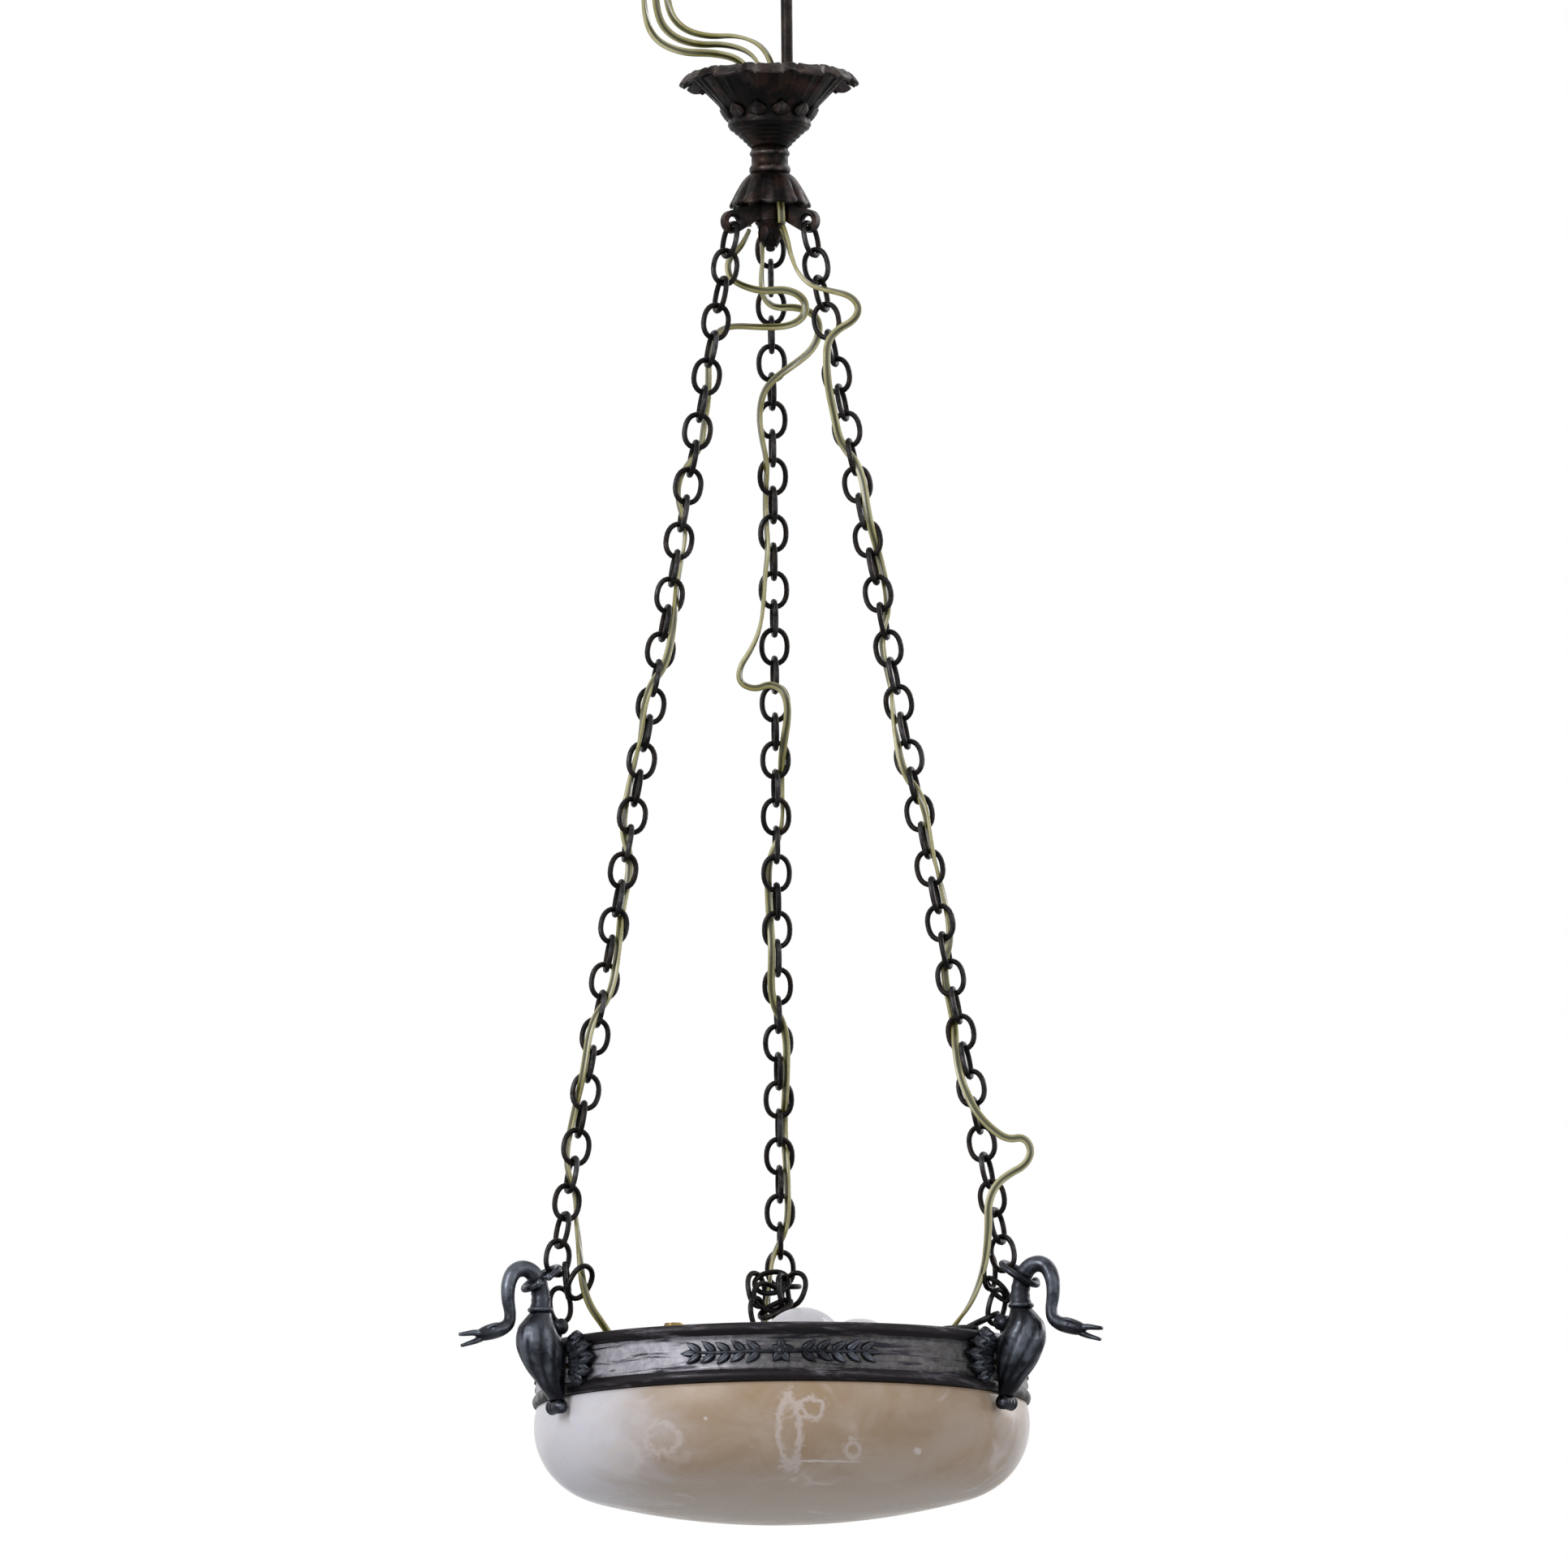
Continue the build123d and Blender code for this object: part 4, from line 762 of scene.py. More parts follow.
# Links left over below the neck rings: middle, way along and way across of each.
SPARE_LINKS = {
    "left": (((-136.9, -90, -922.2), (-0.5, 0, -0.87), (0.62, 0.7, -0.35)),
             ((-150.6, -82, -937.0), (0.1, 0.1, -0.99), (0.75, 0.6, 0.1)),
             ((-146.0, -84, -920.5), (0.1, 0.1, -1), (0.1, 0.99, 0))),
    "right": (((143, -84, -917), (-0.02, 0, -1), (0.44, 0.9, 0)),
              ((148.6, -82, -929), (0.3, 0.8, -0.5), (0.7, -0.5, -0.4)),
              ((147.6, -80, -940.7), (-0.25, 0, -0.97), (0.55, 0.8, -0.14)),
              ((137.4, -80, -950.2), (-0.9, -0.1, -0.42), (0.1, 0.95, 0.1)),
              ((122, -91, -956.9), (0.95, -0.3, 0), (0.3, 0.95, 0))),
    "back": (((4, 164, -899), (0, -1, -0.1), (1, 0, 0)),
             ((-16.6, 150, -902.5), (0.15, 0, -0.99), (0.6, 0.75, 0.1)),
             ((-6.2, 150, -897.6), (0.97, 0.1, 0.2), (0, 0.5, 0.86)),
             ((-8.8, 146, -908.1), (0.8, 0.5, -0.3), (0.2, 0.2, 0.95)),
             ((9.1, 150, -902.5), (-0.35, 0.1, -0.93), (0.75, -0.5, -0.3)),
             ((2.0, 149, -904.3), (0.2, 0.3, -0.93), (0.3, 0.9, 0.3)),
             ((-3.7, 141, -916.9), (-0.9, 0.1, -0.42), (-0.2, 0.85, 0.4)),
             ((-15.6, 140, -921), (0.2, 0.2, -0.96), (0.5, 0.8, 0.2))),
}


def make_spare_links():
    """The chains' surplus links: a tail at the left and right rings and a knot at the back one."""
    settings = bpy.context.scene.pendant_chain
    for side, places in SPARE_LINKS.items():
        links = []
        for centre, along, across in places:
            along = np.array(along, float) / np.linalg.norm(along)
            across = np.array(across, float) - along * (along @ np.array(across, float))
            links.append(link(np.array(centre, float), across / np.linalg.norm(across), along,
                              settings))
        piece(f"spare_links_{side}", joined(*links), "bowl", patina("wire"),
              weld=False)


# ------------------------------------------------------------------ swans
NECK_LINE = np.array([
    (189.5, 57.6, 7.4), (189.0, 66.0, 6.8), (191.5, 77.5, 6.3), (197.0, 83.8, 6.0),
    (204.0, 85.3, 5.9), (210.5, 82.0, 5.6), (214.3, 74.0, 5.2), (214.8, 64.0, 4.7),
    (213.3, 54.0, 4.2), (214.5, 47.5, 4.4), (219.5, 43.5, 5.0), (225.3, 41.8, 5.7),
    (232.9, 39.5, 5.2), (238.6, 37.6, 3.9)])
BREAST_LINE = np.array([
    (55.5, 189.5, 7.4, 7.4), (50, 191.5, 10.5, 9.6), (44, 192.3, 13.8, 12), (32, 189.5, 17, 14.4),
    (18, 186, 13.5, 13), (6, 181, 8.7, 9.4), (-4, 177, 4.6, 7)])
WING_LOBES = ((14, 36, 7.5), (21, 31, 6.5), (25, 23.5, 6), (22, 15, 5.8), (16, 8.5, 5.5))


def make_swan_necks():
    """A goose-necked hook: one tapering sweep to a duck's head with an open bill and set eyes."""
    fine = even_line(NECK_LINE, 64)
    path = np.stack([fine[:, 0], np.zeros(64), RING_FOOT + fine[:, 1]], -1)
    radius = fine[:, 2]
    ring = np.arange(64)
    ruff = 1 + 0.035 * np.sin(ring * 1.9) * (ring < 16)
    neck = swept(path, radius * ruff, radius * ruff * 0.96, 16,
                 (0.35 + 0.45 * np.sin(ring / 64 * math.pi))[:, None])
    low = RING_FOOT
    upper = swept(smooth_line([(236.5, 0, low + 39.4), (242, 0, low + 39.6), (248, 0, low + 38.7),
                               (252.6, 0, low + 38.1)], 10),
                  np.linspace(3.4, 2.3, 10), np.linspace(2.6, 1.3, 10), 10, 0.8)
    lower = swept(smooth_line([(236.5, 0, low + 35.8), (241.5, 0, low + 33.6), (247, 0, low + 31.8),
                               (251.2, 0, low + 30.4)], 10),
                  np.linspace(3.1, 2.1, 10), np.linspace(2.3, 1.2, 10), 10, 0.6)
    eyes = [ball((229.0, 4.9 * s, low + 42.2), 1.5, 10, (1, 0.7, 1)) for s in (-1, 1)]
    brows = [swept(smooth_line([(225, 4.2 * s, low + 45.2), (229, 4.6 * s, low + 45.0),
                                (233.5, 3.6 * s, low + 42.6)], 8), 0.9, 0.7, 8, 0.9)
             for s in (-1, 1)]
    turn = np.arange(28) / 28 * TAU
    collar = np.stack([189.5 + 7.2 * np.cos(turn), 7.2 * np.sin(turn),
                       np.full(28, low + 57.5)], -1)
    _, side, lift = frames_along(collar, True)
    small = np.arange(8) / 8 * TAU
    band = collar[:, None] + 1.75 * (side[:, None] * np.cos(small)[:, None]
                                     + lift[:, None] * np.sin(small)[:, None])
    shape = joined(neck, upper, lower, *eyes, *brows, grid(band, True, True, 0.7))
    for name, turn in SWAN_TURNS.items():
        piece(f"neck_and_head_{name}", turned(shape, turn), "bowl", patina("swan"),
              (f"swan_neck_{name}",))


def make_swan_bodies():
    """Breast: stacked ovals fluted by long feathers that wind down it as |cos(5a + 5s)|; wings
    of acanthus lobes that lie on the band; a curled foot below and a rolled boss behind."""
    fine = even_line(BREAST_LINE, 56)
    angle = np.arange(56) / 56 * TAU
    row = np.arange(56)[:, None]
    down = row / 56 + 0.05 * np.abs(np.sin(angle))
    scale = np.abs(np.cos(angle * 5 + 5 * down))
    step = np.sin(math.pi * np.clip(down, 0, 1))
    ripple = 1 + 0.06 * step * (scale ** 0.6 - 0.7)
    x = fine[:, 1:2] + fine[:, 2:3] * np.cos(angle) * ripple
    y = fine[:, 3:4] * np.sin(angle) * ripple
    x = np.maximum(x, BAND_RADIUS + 1.2)
    points = np.stack([x, y, np.broadcast_to(RING_FOOT + fine[:, :1], x.shape)], -1)
    breast = grid(points, False, True, step * (0.3 + 0.7 * scale), caps=True)
    wings = []
    for side in (-1, 1):
        for i, (reach, height, r) in enumerate(WING_LOBES):
            root = np.array([4.0, 13.0 + 0.42 * height])
            tip = np.array([reach * 1.25, height])
            way = tip - root
            length = np.linalg.norm(way) + r * 0.92
            lobe = leaf(length, r * 2.5, 9.4 - 0.9 * i, curl=0.9, ribs=2, along=20, across=11,
                        blunt=True)
            turn = math.degrees(math.atan2(way[1], way[0]))
            if side < 0:
                turn = 180 - turn
            wings.append(on_band(turned_flat(lobe, turn, side * root[0], root[1], 0.35 + 0.12 * i),
                                 0, RING_FOOT))
    foot = RING_FOOT - 8.5
    roll = [(177.4, y, foot) for y in np.linspace(-6.4, 6.4, 14)]
    size = 5.1 * (1 - 0.16 * np.abs(np.sin(np.linspace(0, 3 * math.pi, 14))))
    scroll = swept(roll, size, size, 18, 0.5)
    curls = [ball((177.4, 6.4 * s, foot), 2.6, 10, (1, 0.5, 1)) for s in (-1, 1)]
    boss_at = RING_TOP + 6.3
    roll = [(176.4, y, boss_at) for y in np.linspace(-5.9, 5.9, 14)]
    size = 5.6 * (1 - 0.14 * np.abs(np.sin(np.linspace(0, 3 * math.pi, 14))))
    boss = swept(roll, size, size, 18, 0.5)
    stalk = swept(smooth_line([(176.6, 0, RING_TOP + 3.0), (178.4, 0, RING_TOP - 4),
                               (181.0, 0, RING_TOP - 10)], 8), 5.4, 3.4, 12, 0.3)
    shape = joined(breast, *wings, scroll, *curls, boss, stalk)
    for name, turn in SWAN_TURNS.items():
        piece(f"breast_and_wings_{name}", turned(shape, turn), "bowl", patina("swan"),
              (f"swan_body_{name}",))


# ------------------------------------------------------------------ ring, sprays and bowl
def arc(centre, radius, start, end, count):
    """Points of an arc in radius and level, angles in degrees."""
    t = np.radians(np.linspace(start, end, count))
    return np.stack([centre[0] + radius * np.cos(t), centre[1] + radius * np.sin(t)], -1)


def make_band():
    """The gallery ring: plain band between two rounded mouldings with a step, and the flange."""
    foot, top, face, inner = RING_FOOT, RING_TOP, BAND_RADIUS, BAND_RADIUS - 3
    # Radius, level, and 1 where the surface is the plain band.
    rows = [(inner, foot, 0), (face + 0.8, foot, 0), (face + 1.9, foot + 1.2, 0),
            (face + 2.5, foot + 3.2, 0), (face + 2.4, foot + 5.0, 0), (face + 1.6, foot + 6.6, 0),
            (face + 0.4, foot + 7.4, 0), (face + 0.4, foot + 8.4, 0), (face, foot + 8.6, 1),
            (face, foot + 12, 1), (face, foot + 20, 1), (face, foot + 28, 1),
            (face, top - 8.6, 1), (face + 0.4, top - 8.4, 0), (face + 0.4, top - 7.4, 0),
            (face + 1.7, top - 6.6, 0), (face + 2.4, top - 5.0, 0), (face + 2.5, top - 3.2, 0),
            (face + 1.8, top - 1.0, 0), (face + 0.8, top, 0), (FLANGE_RADIUS, top, 0),
            (FLANGE_RADIUS, top - 3, 0), (inner, top - 3, 0)]
    rows = np.array(rows, float)
    piece("band", around(rows[:, :2], 256, None, rows[:, 2]), "bowl", band_bronze(),
          ("gallery_ring",))


def make_sprays():
    """Laurel sprays: a stem bent round the band, paired leaves pointing out, and a rosette."""
    reach = math.radians(48.4 / 2) * BAND_RADIUS
    stems, small = [], leaf(13, 6.2, 2.6, curl=0.7, ribs=2, along=14, across=9)
    for way in (-1, 1):
        line = [(way * reach * f, 0.6 * math.sin(f * 9) * f, 1.0) for f in np.linspace(0, .84, 12)]
        stems.append(swept(line, np.linspace(1.5, .9, 12), np.linspace(1.2, .8, 12), 8, 0.5))
        for k, share in enumerate(np.linspace(0.20, 0.78, 5)):
            for lift in (-38, 38):
                turn = lift + 4 * math.sin(k * 2.3 + lift)
                turn = turn if way > 0 else 180 - turn
                stems.append(turned_flat(small, turn, way * reach * share, 0, 0.4))
        stems.append(turned_flat(leaf(13.2, 5.4, 2.6, curl=0.6, along=14), 0 if way > 0 else 180,
                                 way * reach * 0.81, 0, 0.4))
    for i in range(5):
        petal = leaf(9.6, 7.4, 2.5, curl=0.6, along=12)
        stems.append(turned_flat(petal, 90 + 72 * i, 0, 0, 0.6))
    stems.append(ball((0, 0, 1.7), 2.7, 12, (1, 1, 0.8)))
    spray = joined(*stems)
    for name, turn in LAUREL_TURNS.items():
        piece(f"spray_{name}", on_band(spray, turn, RING_FOOT + 20), "bowl", patina("swan"),
              (f"laurel_{name}",))


def make_bowl():
    """Turned stone: a shallow base arc, a tight belly and an upright rim, even in wall, and truly
    round, though carving leaves the real bowl a hair out of true."""
    base = (0.0, BELLY_LEVEL + (BASE_ARC - BELLY_ARC) * math.sin(math.radians(BASE_SLOPE)))
    belly = (BELLY_RADIUS, BELLY_LEVEL)
    outer = np.vstack([
        arc(base, BASE_ARC, -90, -BASE_SLOPE, 26)[1:], arc(belly, BELLY_ARC, -BASE_SLOPE, 15.5, 30),
        [(167.2, RING_FOOT - 0.5), (165.4, RING_FOOT - 0.3), (RIM_RADIUS, RING_FOOT + 0.4),
         (RIM_RADIUS, -980), (RIM_RADIUS, RIM_TOP - 1.5), (RIM_RADIUS - 1.5, RIM_TOP)]])
    inside = RIM_RADIUS - BOWL_WALL
    inner = np.vstack([
        [(inside + 1.5, RIM_TOP), (inside, RIM_TOP - 1.5), (inside, -985.0)],
        arc(belly, BELLY_ARC - BOWL_WALL, -8, -BASE_SLOPE, 16),
        arc(base, BASE_ARC - BOWL_WALL, -BASE_SLOPE, -90, 18)[1:-1]])
    turn = np.arange(220) / 220 * TAU

    def sheet(rows):
        return np.stack([rows[:, 0] * np.cos(turn)[:, None], rows[:, 0] * np.sin(turn)[:, None],
                         np.broadcast_to(rows[:, 1], (220, len(rows)))], -1)

    pole_out = np.array([[0.0, base[1] - BASE_ARC]])
    pole_in = np.array([[0.0, base[1] - BASE_ARC + BOWL_WALL]])
    rows = np.vstack([pole_out, outer, inner, pole_in])
    piece("stone_bowl", grid(sheet(rows), True, False), "bowl", alabaster(),
          ("alabaster_bowl",))


# ------------------------------------------------------------------ lamps
def make_lamps():
    """Frosted globes on their caps: a neck that swells into a sphere."""
    glass = bpy.data.materials.get("frosted_globe") or plain_finish(
        "frosted_globe", linear(190, 188, 196), linear(204, 202, 208), 40, 0.3, 0.0, 0.02,
        Subsurface_Weight=0.4, Subsurface_Scale=0.02, Coat_Weight=0.3)
    neck = math.asin(12.5 / 30)
    rows = np.vstack([[(0, 42), (11.0, 42), (12.3, 43.5), (12.5, 60)],
                      arc((0, 96), 30, -90 + math.degrees(neck) + 4, 90, 26)])
    rows = np.vstack([rows[:4], even_line(np.vstack([rows[3], (13.2, 67.0), rows[5:]]), 40)[1:]])
    rows[-1] = (0, 126)
    turn = np.arange(48) / 48 * TAU
    local = np.stack([rows[:, 0] * np.cos(turn)[:, None], rows[:, 0] * np.sin(turn)[:, None],
                      np.broadcast_to(rows[:, 1], (48, len(rows)))], -1)
    for name, (degrees, tilt) in LAMPS.items():
        a, t = math.radians(degrees), math.radians(tilt)
        out = np.array([math.cos(a), math.sin(a), 0])
        along = out * math.sin(t) + np.array([0, 0, math.cos(t)])
        across = np.array([-math.sin(a), math.cos(a), 0])
        basis = np.stack([across, np.cross(along, across), along])
        points = out * LAMP_REACH + np.array([0, 0, LAMP_FOOT]) + local @ basis
        piece(f"globe_{name}", grid(points, True, False), f"bulb_{name}", glass,
              (f"bulb_glass_{name}",))


# ------------------------------------------------------------------ flexes
def flex_points(name, route):
    """Points 1.5 mm apart along a quadratic spline whose control points are the route."""
    curve = bpy.data.curves.new(name + "_line", "CURVE")
    curve.dimensions = "3D"
    curve.resolution_u = 8
    spline = curve.splines.new("NURBS")
    spline.points.add(len(route) - 1)
    spline.points.foreach_set("co", [c for p in route for c in (*(x * MM for x in p), 1.0)])
    spline.order_u = 3
    spline.use_endpoint_u = True
    holder = bpy.data.objects.new(name + "_line", curve)
    bpy.context.scene.collection.objects.link(holder)
    bpy.context.view_layer.update()
    mesh = bpy.data.meshes.new_from_object(holder)
    line = np.empty(len(mesh.vertices) * 3)
    mesh.vertices.foreach_get("co", line)
    bpy.data.objects.remove(holder)
    bpy.data.meshes.remove(mesh)
    bpy.data.curves.remove(curve)
    line = line.reshape(-1, 3) / MM
    reach = np.r_[0, np.cumsum(np.linalg.norm(np.diff(line, axis=0), axis=1))]
    at = np.linspace(0, reach[-1], int(reach[-1] / 1.5))
    return np.column_stack([np.interp(at, reach, line[:, k]) for k in range(3)]), reach[-1]


def twin_flex(name, route, body, twist):
    """Two cores side by side in one sleeve: a figure of eight that turns slowly about the line."""
    settings = bpy.context.scene.pendant_flex
    line, length = flex_points(name, route)
    _, side, lift = frames_along(line)
    core = settings.thickness / 2
    apart = settings.width / 2 - core
    t = np.arange(12) / 12 * TAU
    x = apart * np.sign(np.cos(t)) * (np.abs(np.cos(t)) > 0.01) + core * np.cos(t)
    y = core * np.sin(t) * np.where(np.abs(np.cos(t)) < 0.01, 0.62, 1)
    turn = twist + np.cumsum(np.full(len(line), 0.020)) + 0.9 * np.sin(np.arange(len(line)) * .021)
    c, s = np.cos(turn)[:, None, None], np.sin(turn)[:, None, None]
    u = side[:, None] * c + lift[:, None] * s
    v = lift[:, None] * c - side[:, None] * s
    points = line[:, None] + u * x[:, None] + v * y[:, None]
    tone = np.where(np.abs(np.cos(t)) < 0.01, 0.0, 1.0)[None]
    sleeve = piece(name, grid(points, False, True, tone, caps=True), body, flex_material(),
                   weld=False)


def flex_material():
    return bpy.data.materials.get("gilt_sleeve") or flex_sleeve()


def make_flexes():
    """Three twin flexes: over the crown and down its neck, then wound down the chains."""
    for i, (side, route) in enumerate(TOP_ROUTES.items()):
        twin_flex(f"flex_over_crown_{side}", route, "hub", 0.8 * i)
    for i, (side, route) in enumerate(FLEX_ROUTES.items()):
        twin_flex(f"flex_down_{side}", route, f"hanging_{side}", 1.3 * i)


# ------------------------------------------------------------------ plain pieces and stage
def finish_plain():
    """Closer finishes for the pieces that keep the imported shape."""
    finishes = {
        "forged_iron": plain_finish("iron_wrought", linear(28, 26, 26), linear(52, 46, 42), 70,
                                    0.5, 0.8, 0.25),
        "porcelain": plain_finish("porcelain_glazed", linear(218, 212, 200), linear(230, 226, 216),
                                  60, 0.2, 0.0, 0.02, Coat_Weight=0.5),
        "brass_screws": plain_finish("brass_dull", linear(120, 100, 62), linear(152, 128, 80), 120,
                                     0.34, 0.9, 0.1),
        "felt": plain_finish("felt_dark", linear(44, 52, 44), linear(60, 68, 58), 300, 0.95, 0.0,
                             0.6, Sheen_Weight=0.4),
        "plated_steel": plain_finish("steel_plated", linear(140, 138, 130), linear(170, 168, 158),
                                     90, 0.3, 0.95, 0.05),
        "black_moulding": plain_finish("moulding_black", linear(22, 22, 22), linear(34, 32, 32),
                                       80, 0.32, 0.0, 0.03),
        "bulb_cap": plain_finish("cap_nickel", linear(170, 168, 162), linear(190, 188, 182), 120,
                                 0.25, 0.95, 0.05),
        "patinated_bronze": patina("crown"),
        "chain_bronze": patina("wire"),
    }
    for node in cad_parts.values():
        for place in node.material_slots:
            name = place.material.name.split(".")[0] if place.material else ""
            if name in finishes:
                place.link = "OBJECT"
                place.material = finishes[name]


FOCUS = (0.0057, 0.0, -0.5691)  # middle of the picture, metres
FLOOR_LEVEL = -4.5
FLOOR_REACH = 40.0
# Power in watts, width and height, place, and the point each light faces, in metres.
LIGHTS = {
    "key": (62, (1.6, 2.2), (-2.3, -2.6, 0.6), (0, 0, -0.7)),
    "fill": (16, (2.0, 2.4), (2.8, -1.8, -0.2), (0, 0, -0.7)),
    "rim": (22, (0.7, 2.4), (1.9, 1.6, 0.3), (0, 0, -0.8)),
}


def make_stage():
    """Camera, floor, light and a world that is white to the camera and soft on the pendant."""
    settings = bpy.context.scene.pendant_stage
    scene = bpy.context.scene
    scene.view_settings.view_transform = "Standard"
    e, roll = settings.elevation, settings.tilt
    back = np.array([0, -math.cos(e), math.sin(e)])
    up0 = np.array([0, math.sin(e), math.cos(e)])
    right0 = np.array([1.0, 0, 0])
    right = right0 * math.cos(roll) - up0 * math.sin(roll)
    up = right0 * math.sin(roll) + up0 * math.cos(roll)
    data = bpy.data.cameras.new("pendant_camera")
    data.lens = 36.0 * settings.distance / settings.field
    data.clip_end = 120
    camera = bpy.data.objects.new("pendant_camera", data)
    scene.collection.objects.link(camera)
    place = np.array(FOCUS) + back * settings.distance
    rows = [[*map(float, (right[i], up[i], back[i], place[i]))] for i in range(3)]
    camera.matrix_world = Matrix(rows + [[0, 0, 0, 1]])
    scene.camera = camera
    floor = bpy.data.meshes.new("pendant_floor")
    corners = [(x * FLOOR_REACH, y * FLOOR_REACH, FLOOR_LEVEL)
               for x, y in ((-1, -1), (1, -1), (1, 1), (-1, 1))]
    floor.from_pydata(corners, [], [(0, 1, 2, 3)])
    ground = bpy.data.objects.new("pendant_floor", floor)
    scene.collection.objects.link(ground)
    floor.materials.append(plain_finish("floor_pale", (0.78, 0.78, 0.78, 1), (0.8, 0.8, 0.8, 1),
                                        1.0, 0.9))
    for name, (power, size, spot, aim) in LIGHTS.items():
        light = bpy.data.lights.new(name, "AREA")
        light.energy, light.shape = power, "RECTANGLE"
        light.size, light.size_y = size
        lamp = bpy.data.objects.new(name, light)
        scene.collection.objects.link(lamp)
        lamp.location = spot
        way = Vector(aim) - Vector(spot)
        lamp.rotation_euler = way.to_track_quat("-Z", "Y").to_euler()
    world = bpy.data.worlds.new("pendant_world")
    scene.world = world
    world.use_nodes = True
    tree = world.node_tree
    rays = tree.nodes.new("ShaderNodeLightPath")
    ambient = tree.nodes["Background"]
    ambient.inputs["Color"].default_value = (0.95, 0.97, 1, 1)
    ambient.inputs["Strength"].default_value = 0.55
    white = tree.nodes.new("ShaderNodeBackground")
    white.inputs["Color"].default_value = (1, 1, 1, 1)
    seen = rays.outputs["Is Camera Ray"]
    for ray in ("Is Glossy Ray", "Is Transmission Ray"):
        either = tree.nodes.new("ShaderNodeMath")
        either.operation = "MAXIMUM"
        tree.links.new(seen, either.inputs[0])
        tree.links.new(rays.outputs[ray], either.inputs[1])
        seen = either.outputs[0]
    mix = tree.nodes.new("ShaderNodeMixShader")
    tree.links.new(seen, mix.inputs[0])
    tree.links.new(ambient.outputs[0], mix.inputs[1])
    tree.links.new(white.outputs[0], mix.inputs[2])
    tree.links.new(mix.outputs[0], tree.nodes["World Output"].inputs["Surface"])


# ------------------------------------------------------------------ add-on
class PENDANT_OT_stage(bpy.types.Operator):
    """Add the camera, floor, lights and world."""

    bl_idname = "pendant.stage"
    bl_label = "Stage and camera"
    bl_options = {"REGISTER", "UNDO"}

    def execute(self, context):
        make_stage()
        return {"FINISHED"}


class PENDANT_OT_flexes(bpy.types.Operator):
    """Add the twin flexes."""

    bl_idname = "pendant.flexes"
    bl_label = "Flexes"
    bl_options = {"REGISTER", "UNDO"}

    def execute(self, context):
        make_flexes()
        return {"FINISHED"}


class PENDANT_OT_chains(bpy.types.Operator):
    """Add the links and the open neck rings."""

    bl_idname = "pendant.chains"
    bl_label = "Chains"
    bl_options = {"REGISTER", "UNDO"}

    def execute(self, context):
        make_chains()
        return {"FINISHED"}


class PENDANT_OT_spare_links(bpy.types.Operator):
    """Add the chains' surplus links."""

    bl_idname = "pendant.spare_links"
    bl_label = "Spare links"
    bl_options = {"REGISTER", "UNDO"}

    def execute(self, context):
        make_spare_links()
        return {"FINISHED"}


class PENDANT_OT_crown(bpy.types.Operator):
    """Add the petalled crown."""

    bl_idname = "pendant.crown"
    bl_label = "Crown"
    bl_options = {"REGISTER", "UNDO"}

    def execute(self, context):
        make_crown()
        return {"FINISHED"}


class PENDANT_OT_stem(bpy.types.Operator):
    """Add the neck, husk and bud."""

    bl_idname = "pendant.stem"
    bl_label = "Stem"
    bl_options = {"REGISTER", "UNDO"}

    def execute(self, context):
        make_stem()
        return {"FINISHED"}


class PENDANT_OT_swan_necks(bpy.types.Operator):
    """Add the necks and heads."""

    bl_idname = "pendant.swan_necks"
    bl_label = "Swans' necks"
    bl_options = {"REGISTER", "UNDO"}

    def execute(self, context):
        make_swan_necks()
        return {"FINISHED"}


class PENDANT_OT_swan_bodies(bpy.types.Operator):
    """Add the breasts and wings."""

    bl_idname = "pendant.swan_bodies"
    bl_label = "Swans' bodies"
    bl_options = {"REGISTER", "UNDO"}

    def execute(self, context):
        make_swan_bodies()
        return {"FINISHED"}


class PENDANT_OT_band(bpy.types.Operator):
    """Add the gallery ring."""

    bl_idname = "pendant.band"
    bl_label = "Band"
    bl_options = {"REGISTER", "UNDO"}

    def execute(self, context):
        make_band()
        return {"FINISHED"}


class PENDANT_OT_sprays(bpy.types.Operator):
    """Add the laurel sprays."""

    bl_idname = "pendant.sprays"
    bl_label = "Sprays"
    bl_options = {"REGISTER", "UNDO"}

    def execute(self, context):
        make_sprays()
        return {"FINISHED"}


class PENDANT_OT_bowl(bpy.types.Operator):
    """Add the stone bowl."""

    bl_idname = "pendant.bowl"
    bl_label = "Bowl"
    bl_options = {"REGISTER", "UNDO"}

    def execute(self, context):
        make_bowl()
        return {"FINISHED"}


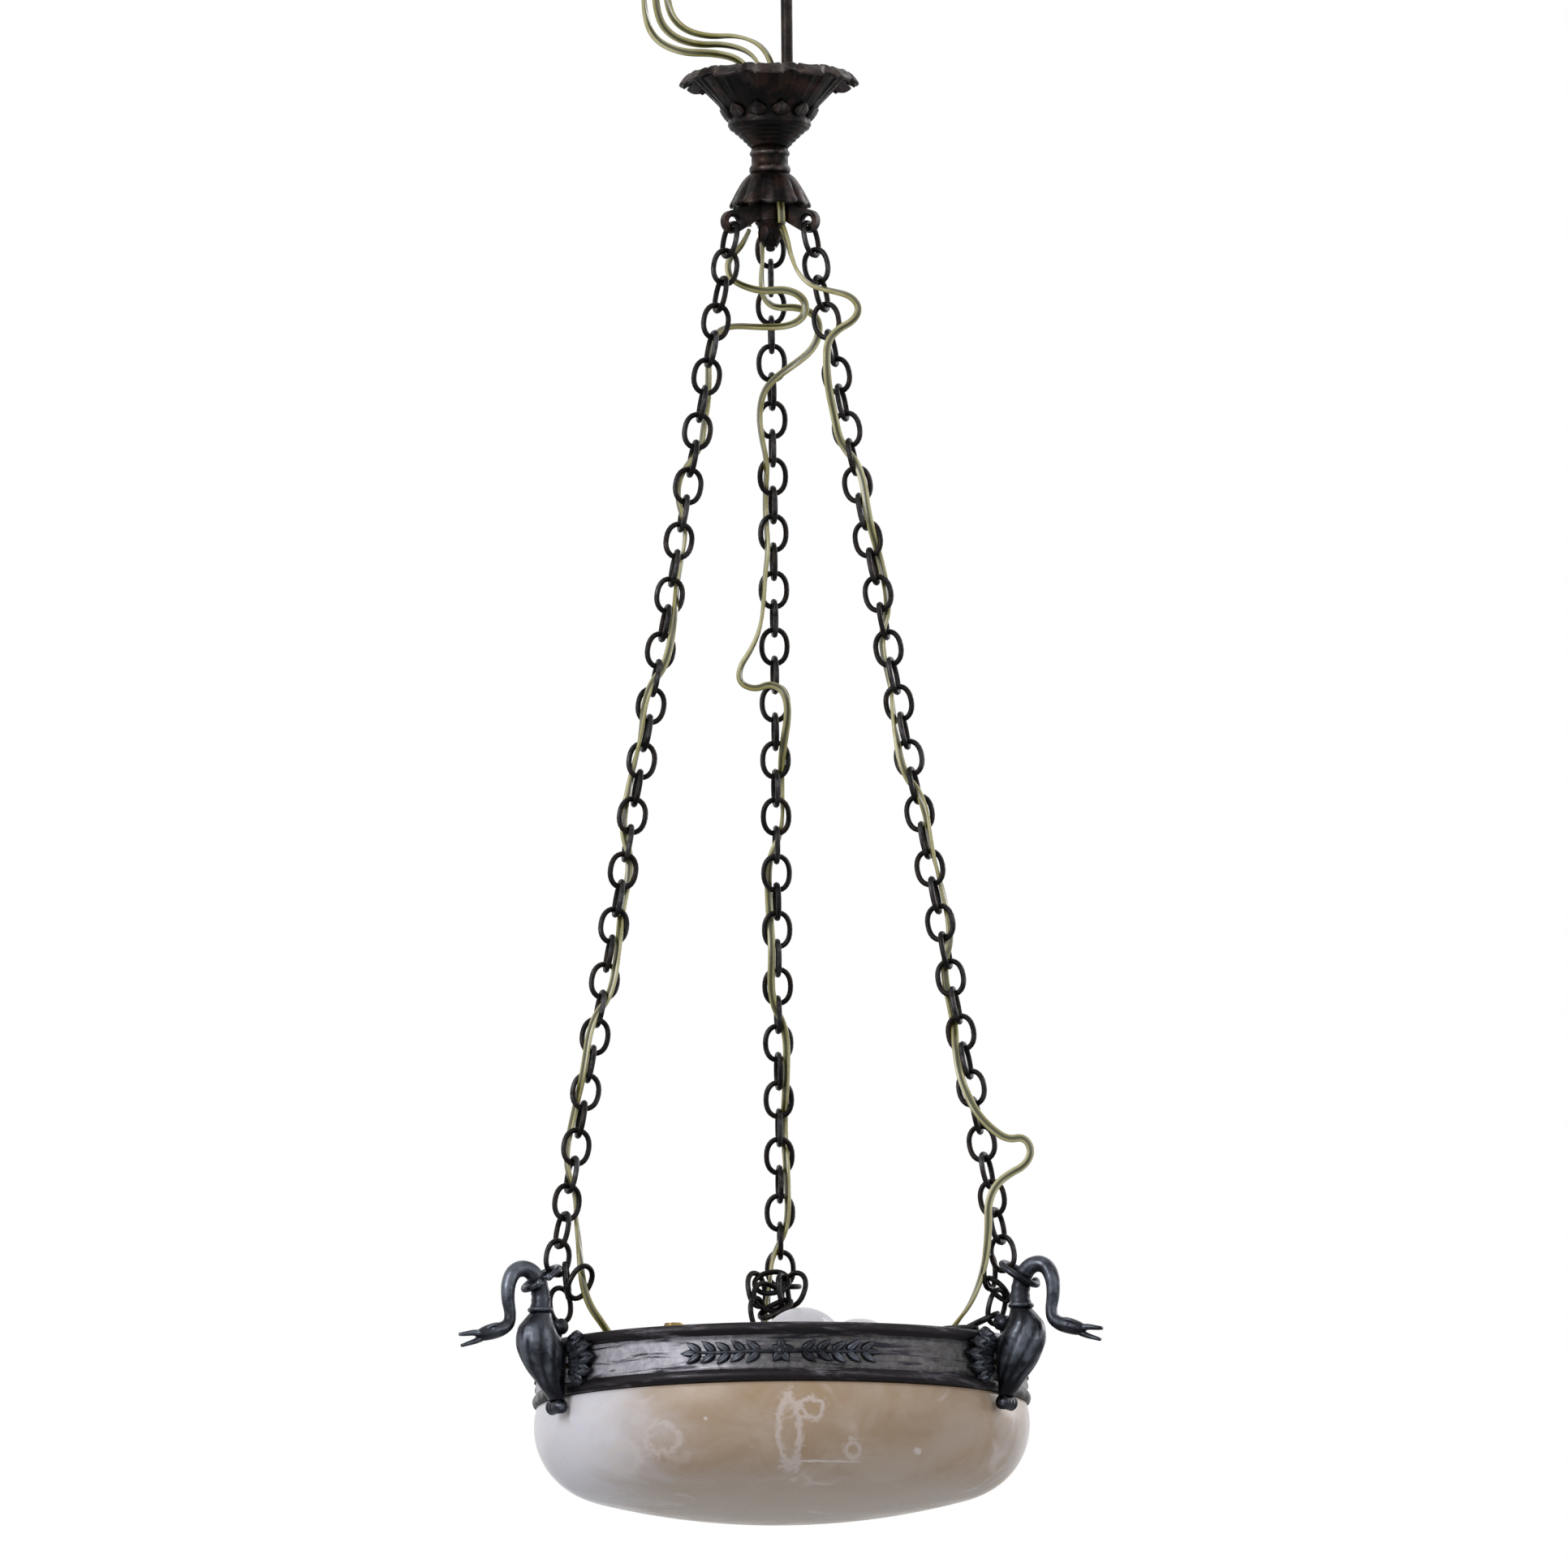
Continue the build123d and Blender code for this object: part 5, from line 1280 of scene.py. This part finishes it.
class PENDANT_OT_lamps(bpy.types.Operator):
    """Add the frosted globes."""

    bl_idname = "pendant.lamps"
    bl_label = "Lamps"
    bl_options = {"REGISTER", "UNDO"}

    def execute(self, context):
        make_lamps()
        return {"FINISHED"}


class PENDANT_OT_plain(bpy.types.Operator):
    """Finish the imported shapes."""

    bl_idname = "pendant.plain"
    bl_label = "Plain pieces"
    bl_options = {"REGISTER", "UNDO"}

    def execute(self, context):
        finish_plain()
        return {"FINISHED"}


OPERATORS = (
    PENDANT_OT_stage, PENDANT_OT_flexes, PENDANT_OT_chains, PENDANT_OT_spare_links,
    PENDANT_OT_crown, PENDANT_OT_stem, PENDANT_OT_swan_necks, PENDANT_OT_swan_bodies,
    PENDANT_OT_band, PENDANT_OT_sprays, PENDANT_OT_bowl, PENDANT_OT_lamps, PENDANT_OT_plain,
)
GROUPS = {
    "pendant_stage": ("distance", "elevation", "tilt", "field"),
    "pendant_chain": ("wire", "half_width", "squareness"),
    "pendant_flex": ("width", "thickness", "colour"),
    "pendant_stone": ("pale", "honey"),
}


class PENDANT_PT_panel(bpy.types.Panel):
    """Sizes, colours and one button for each group of pieces."""

    bl_label = "Alabaster bowl pendant"
    bl_idname = "PENDANT_PT_panel"
    bl_space_type = "VIEW_3D"
    bl_region_type = "UI"
    bl_category = "Pendant"

    def draw(self, context):
        for group, names in GROUPS.items():
            box = self.layout.box()
            for name in names:
                box.prop(getattr(context.scene, group), name)
        for made in OPERATORS:
            self.layout.operator(made.bl_idname)


SETTINGS = {"pendant_stage": PendantStage, "pendant_chain": PendantChain,
            "pendant_flex": PendantFlex, "pendant_stone": PendantStone}


def register():
    for name, group in SETTINGS.items():
        bpy.utils.register_class(group)
        setattr(bpy.types.Scene, name, bpy.props.PointerProperty(type=group))
    for made in (*OPERATORS, PENDANT_PT_panel):
        bpy.utils.register_class(made)


def unregister():
    for made in reversed((*OPERATORS, PENDANT_PT_panel)):
        bpy.utils.unregister_class(made)
    for name, group in SETTINGS.items():
        delattr(bpy.types.Scene, name)
        bpy.utils.unregister_class(group)


def main():
    register()
    for made in OPERATORS:
        getattr(bpy.ops.pendant, made.bl_idname.split(".")[1])()


if __name__ == "__main__":
    main()
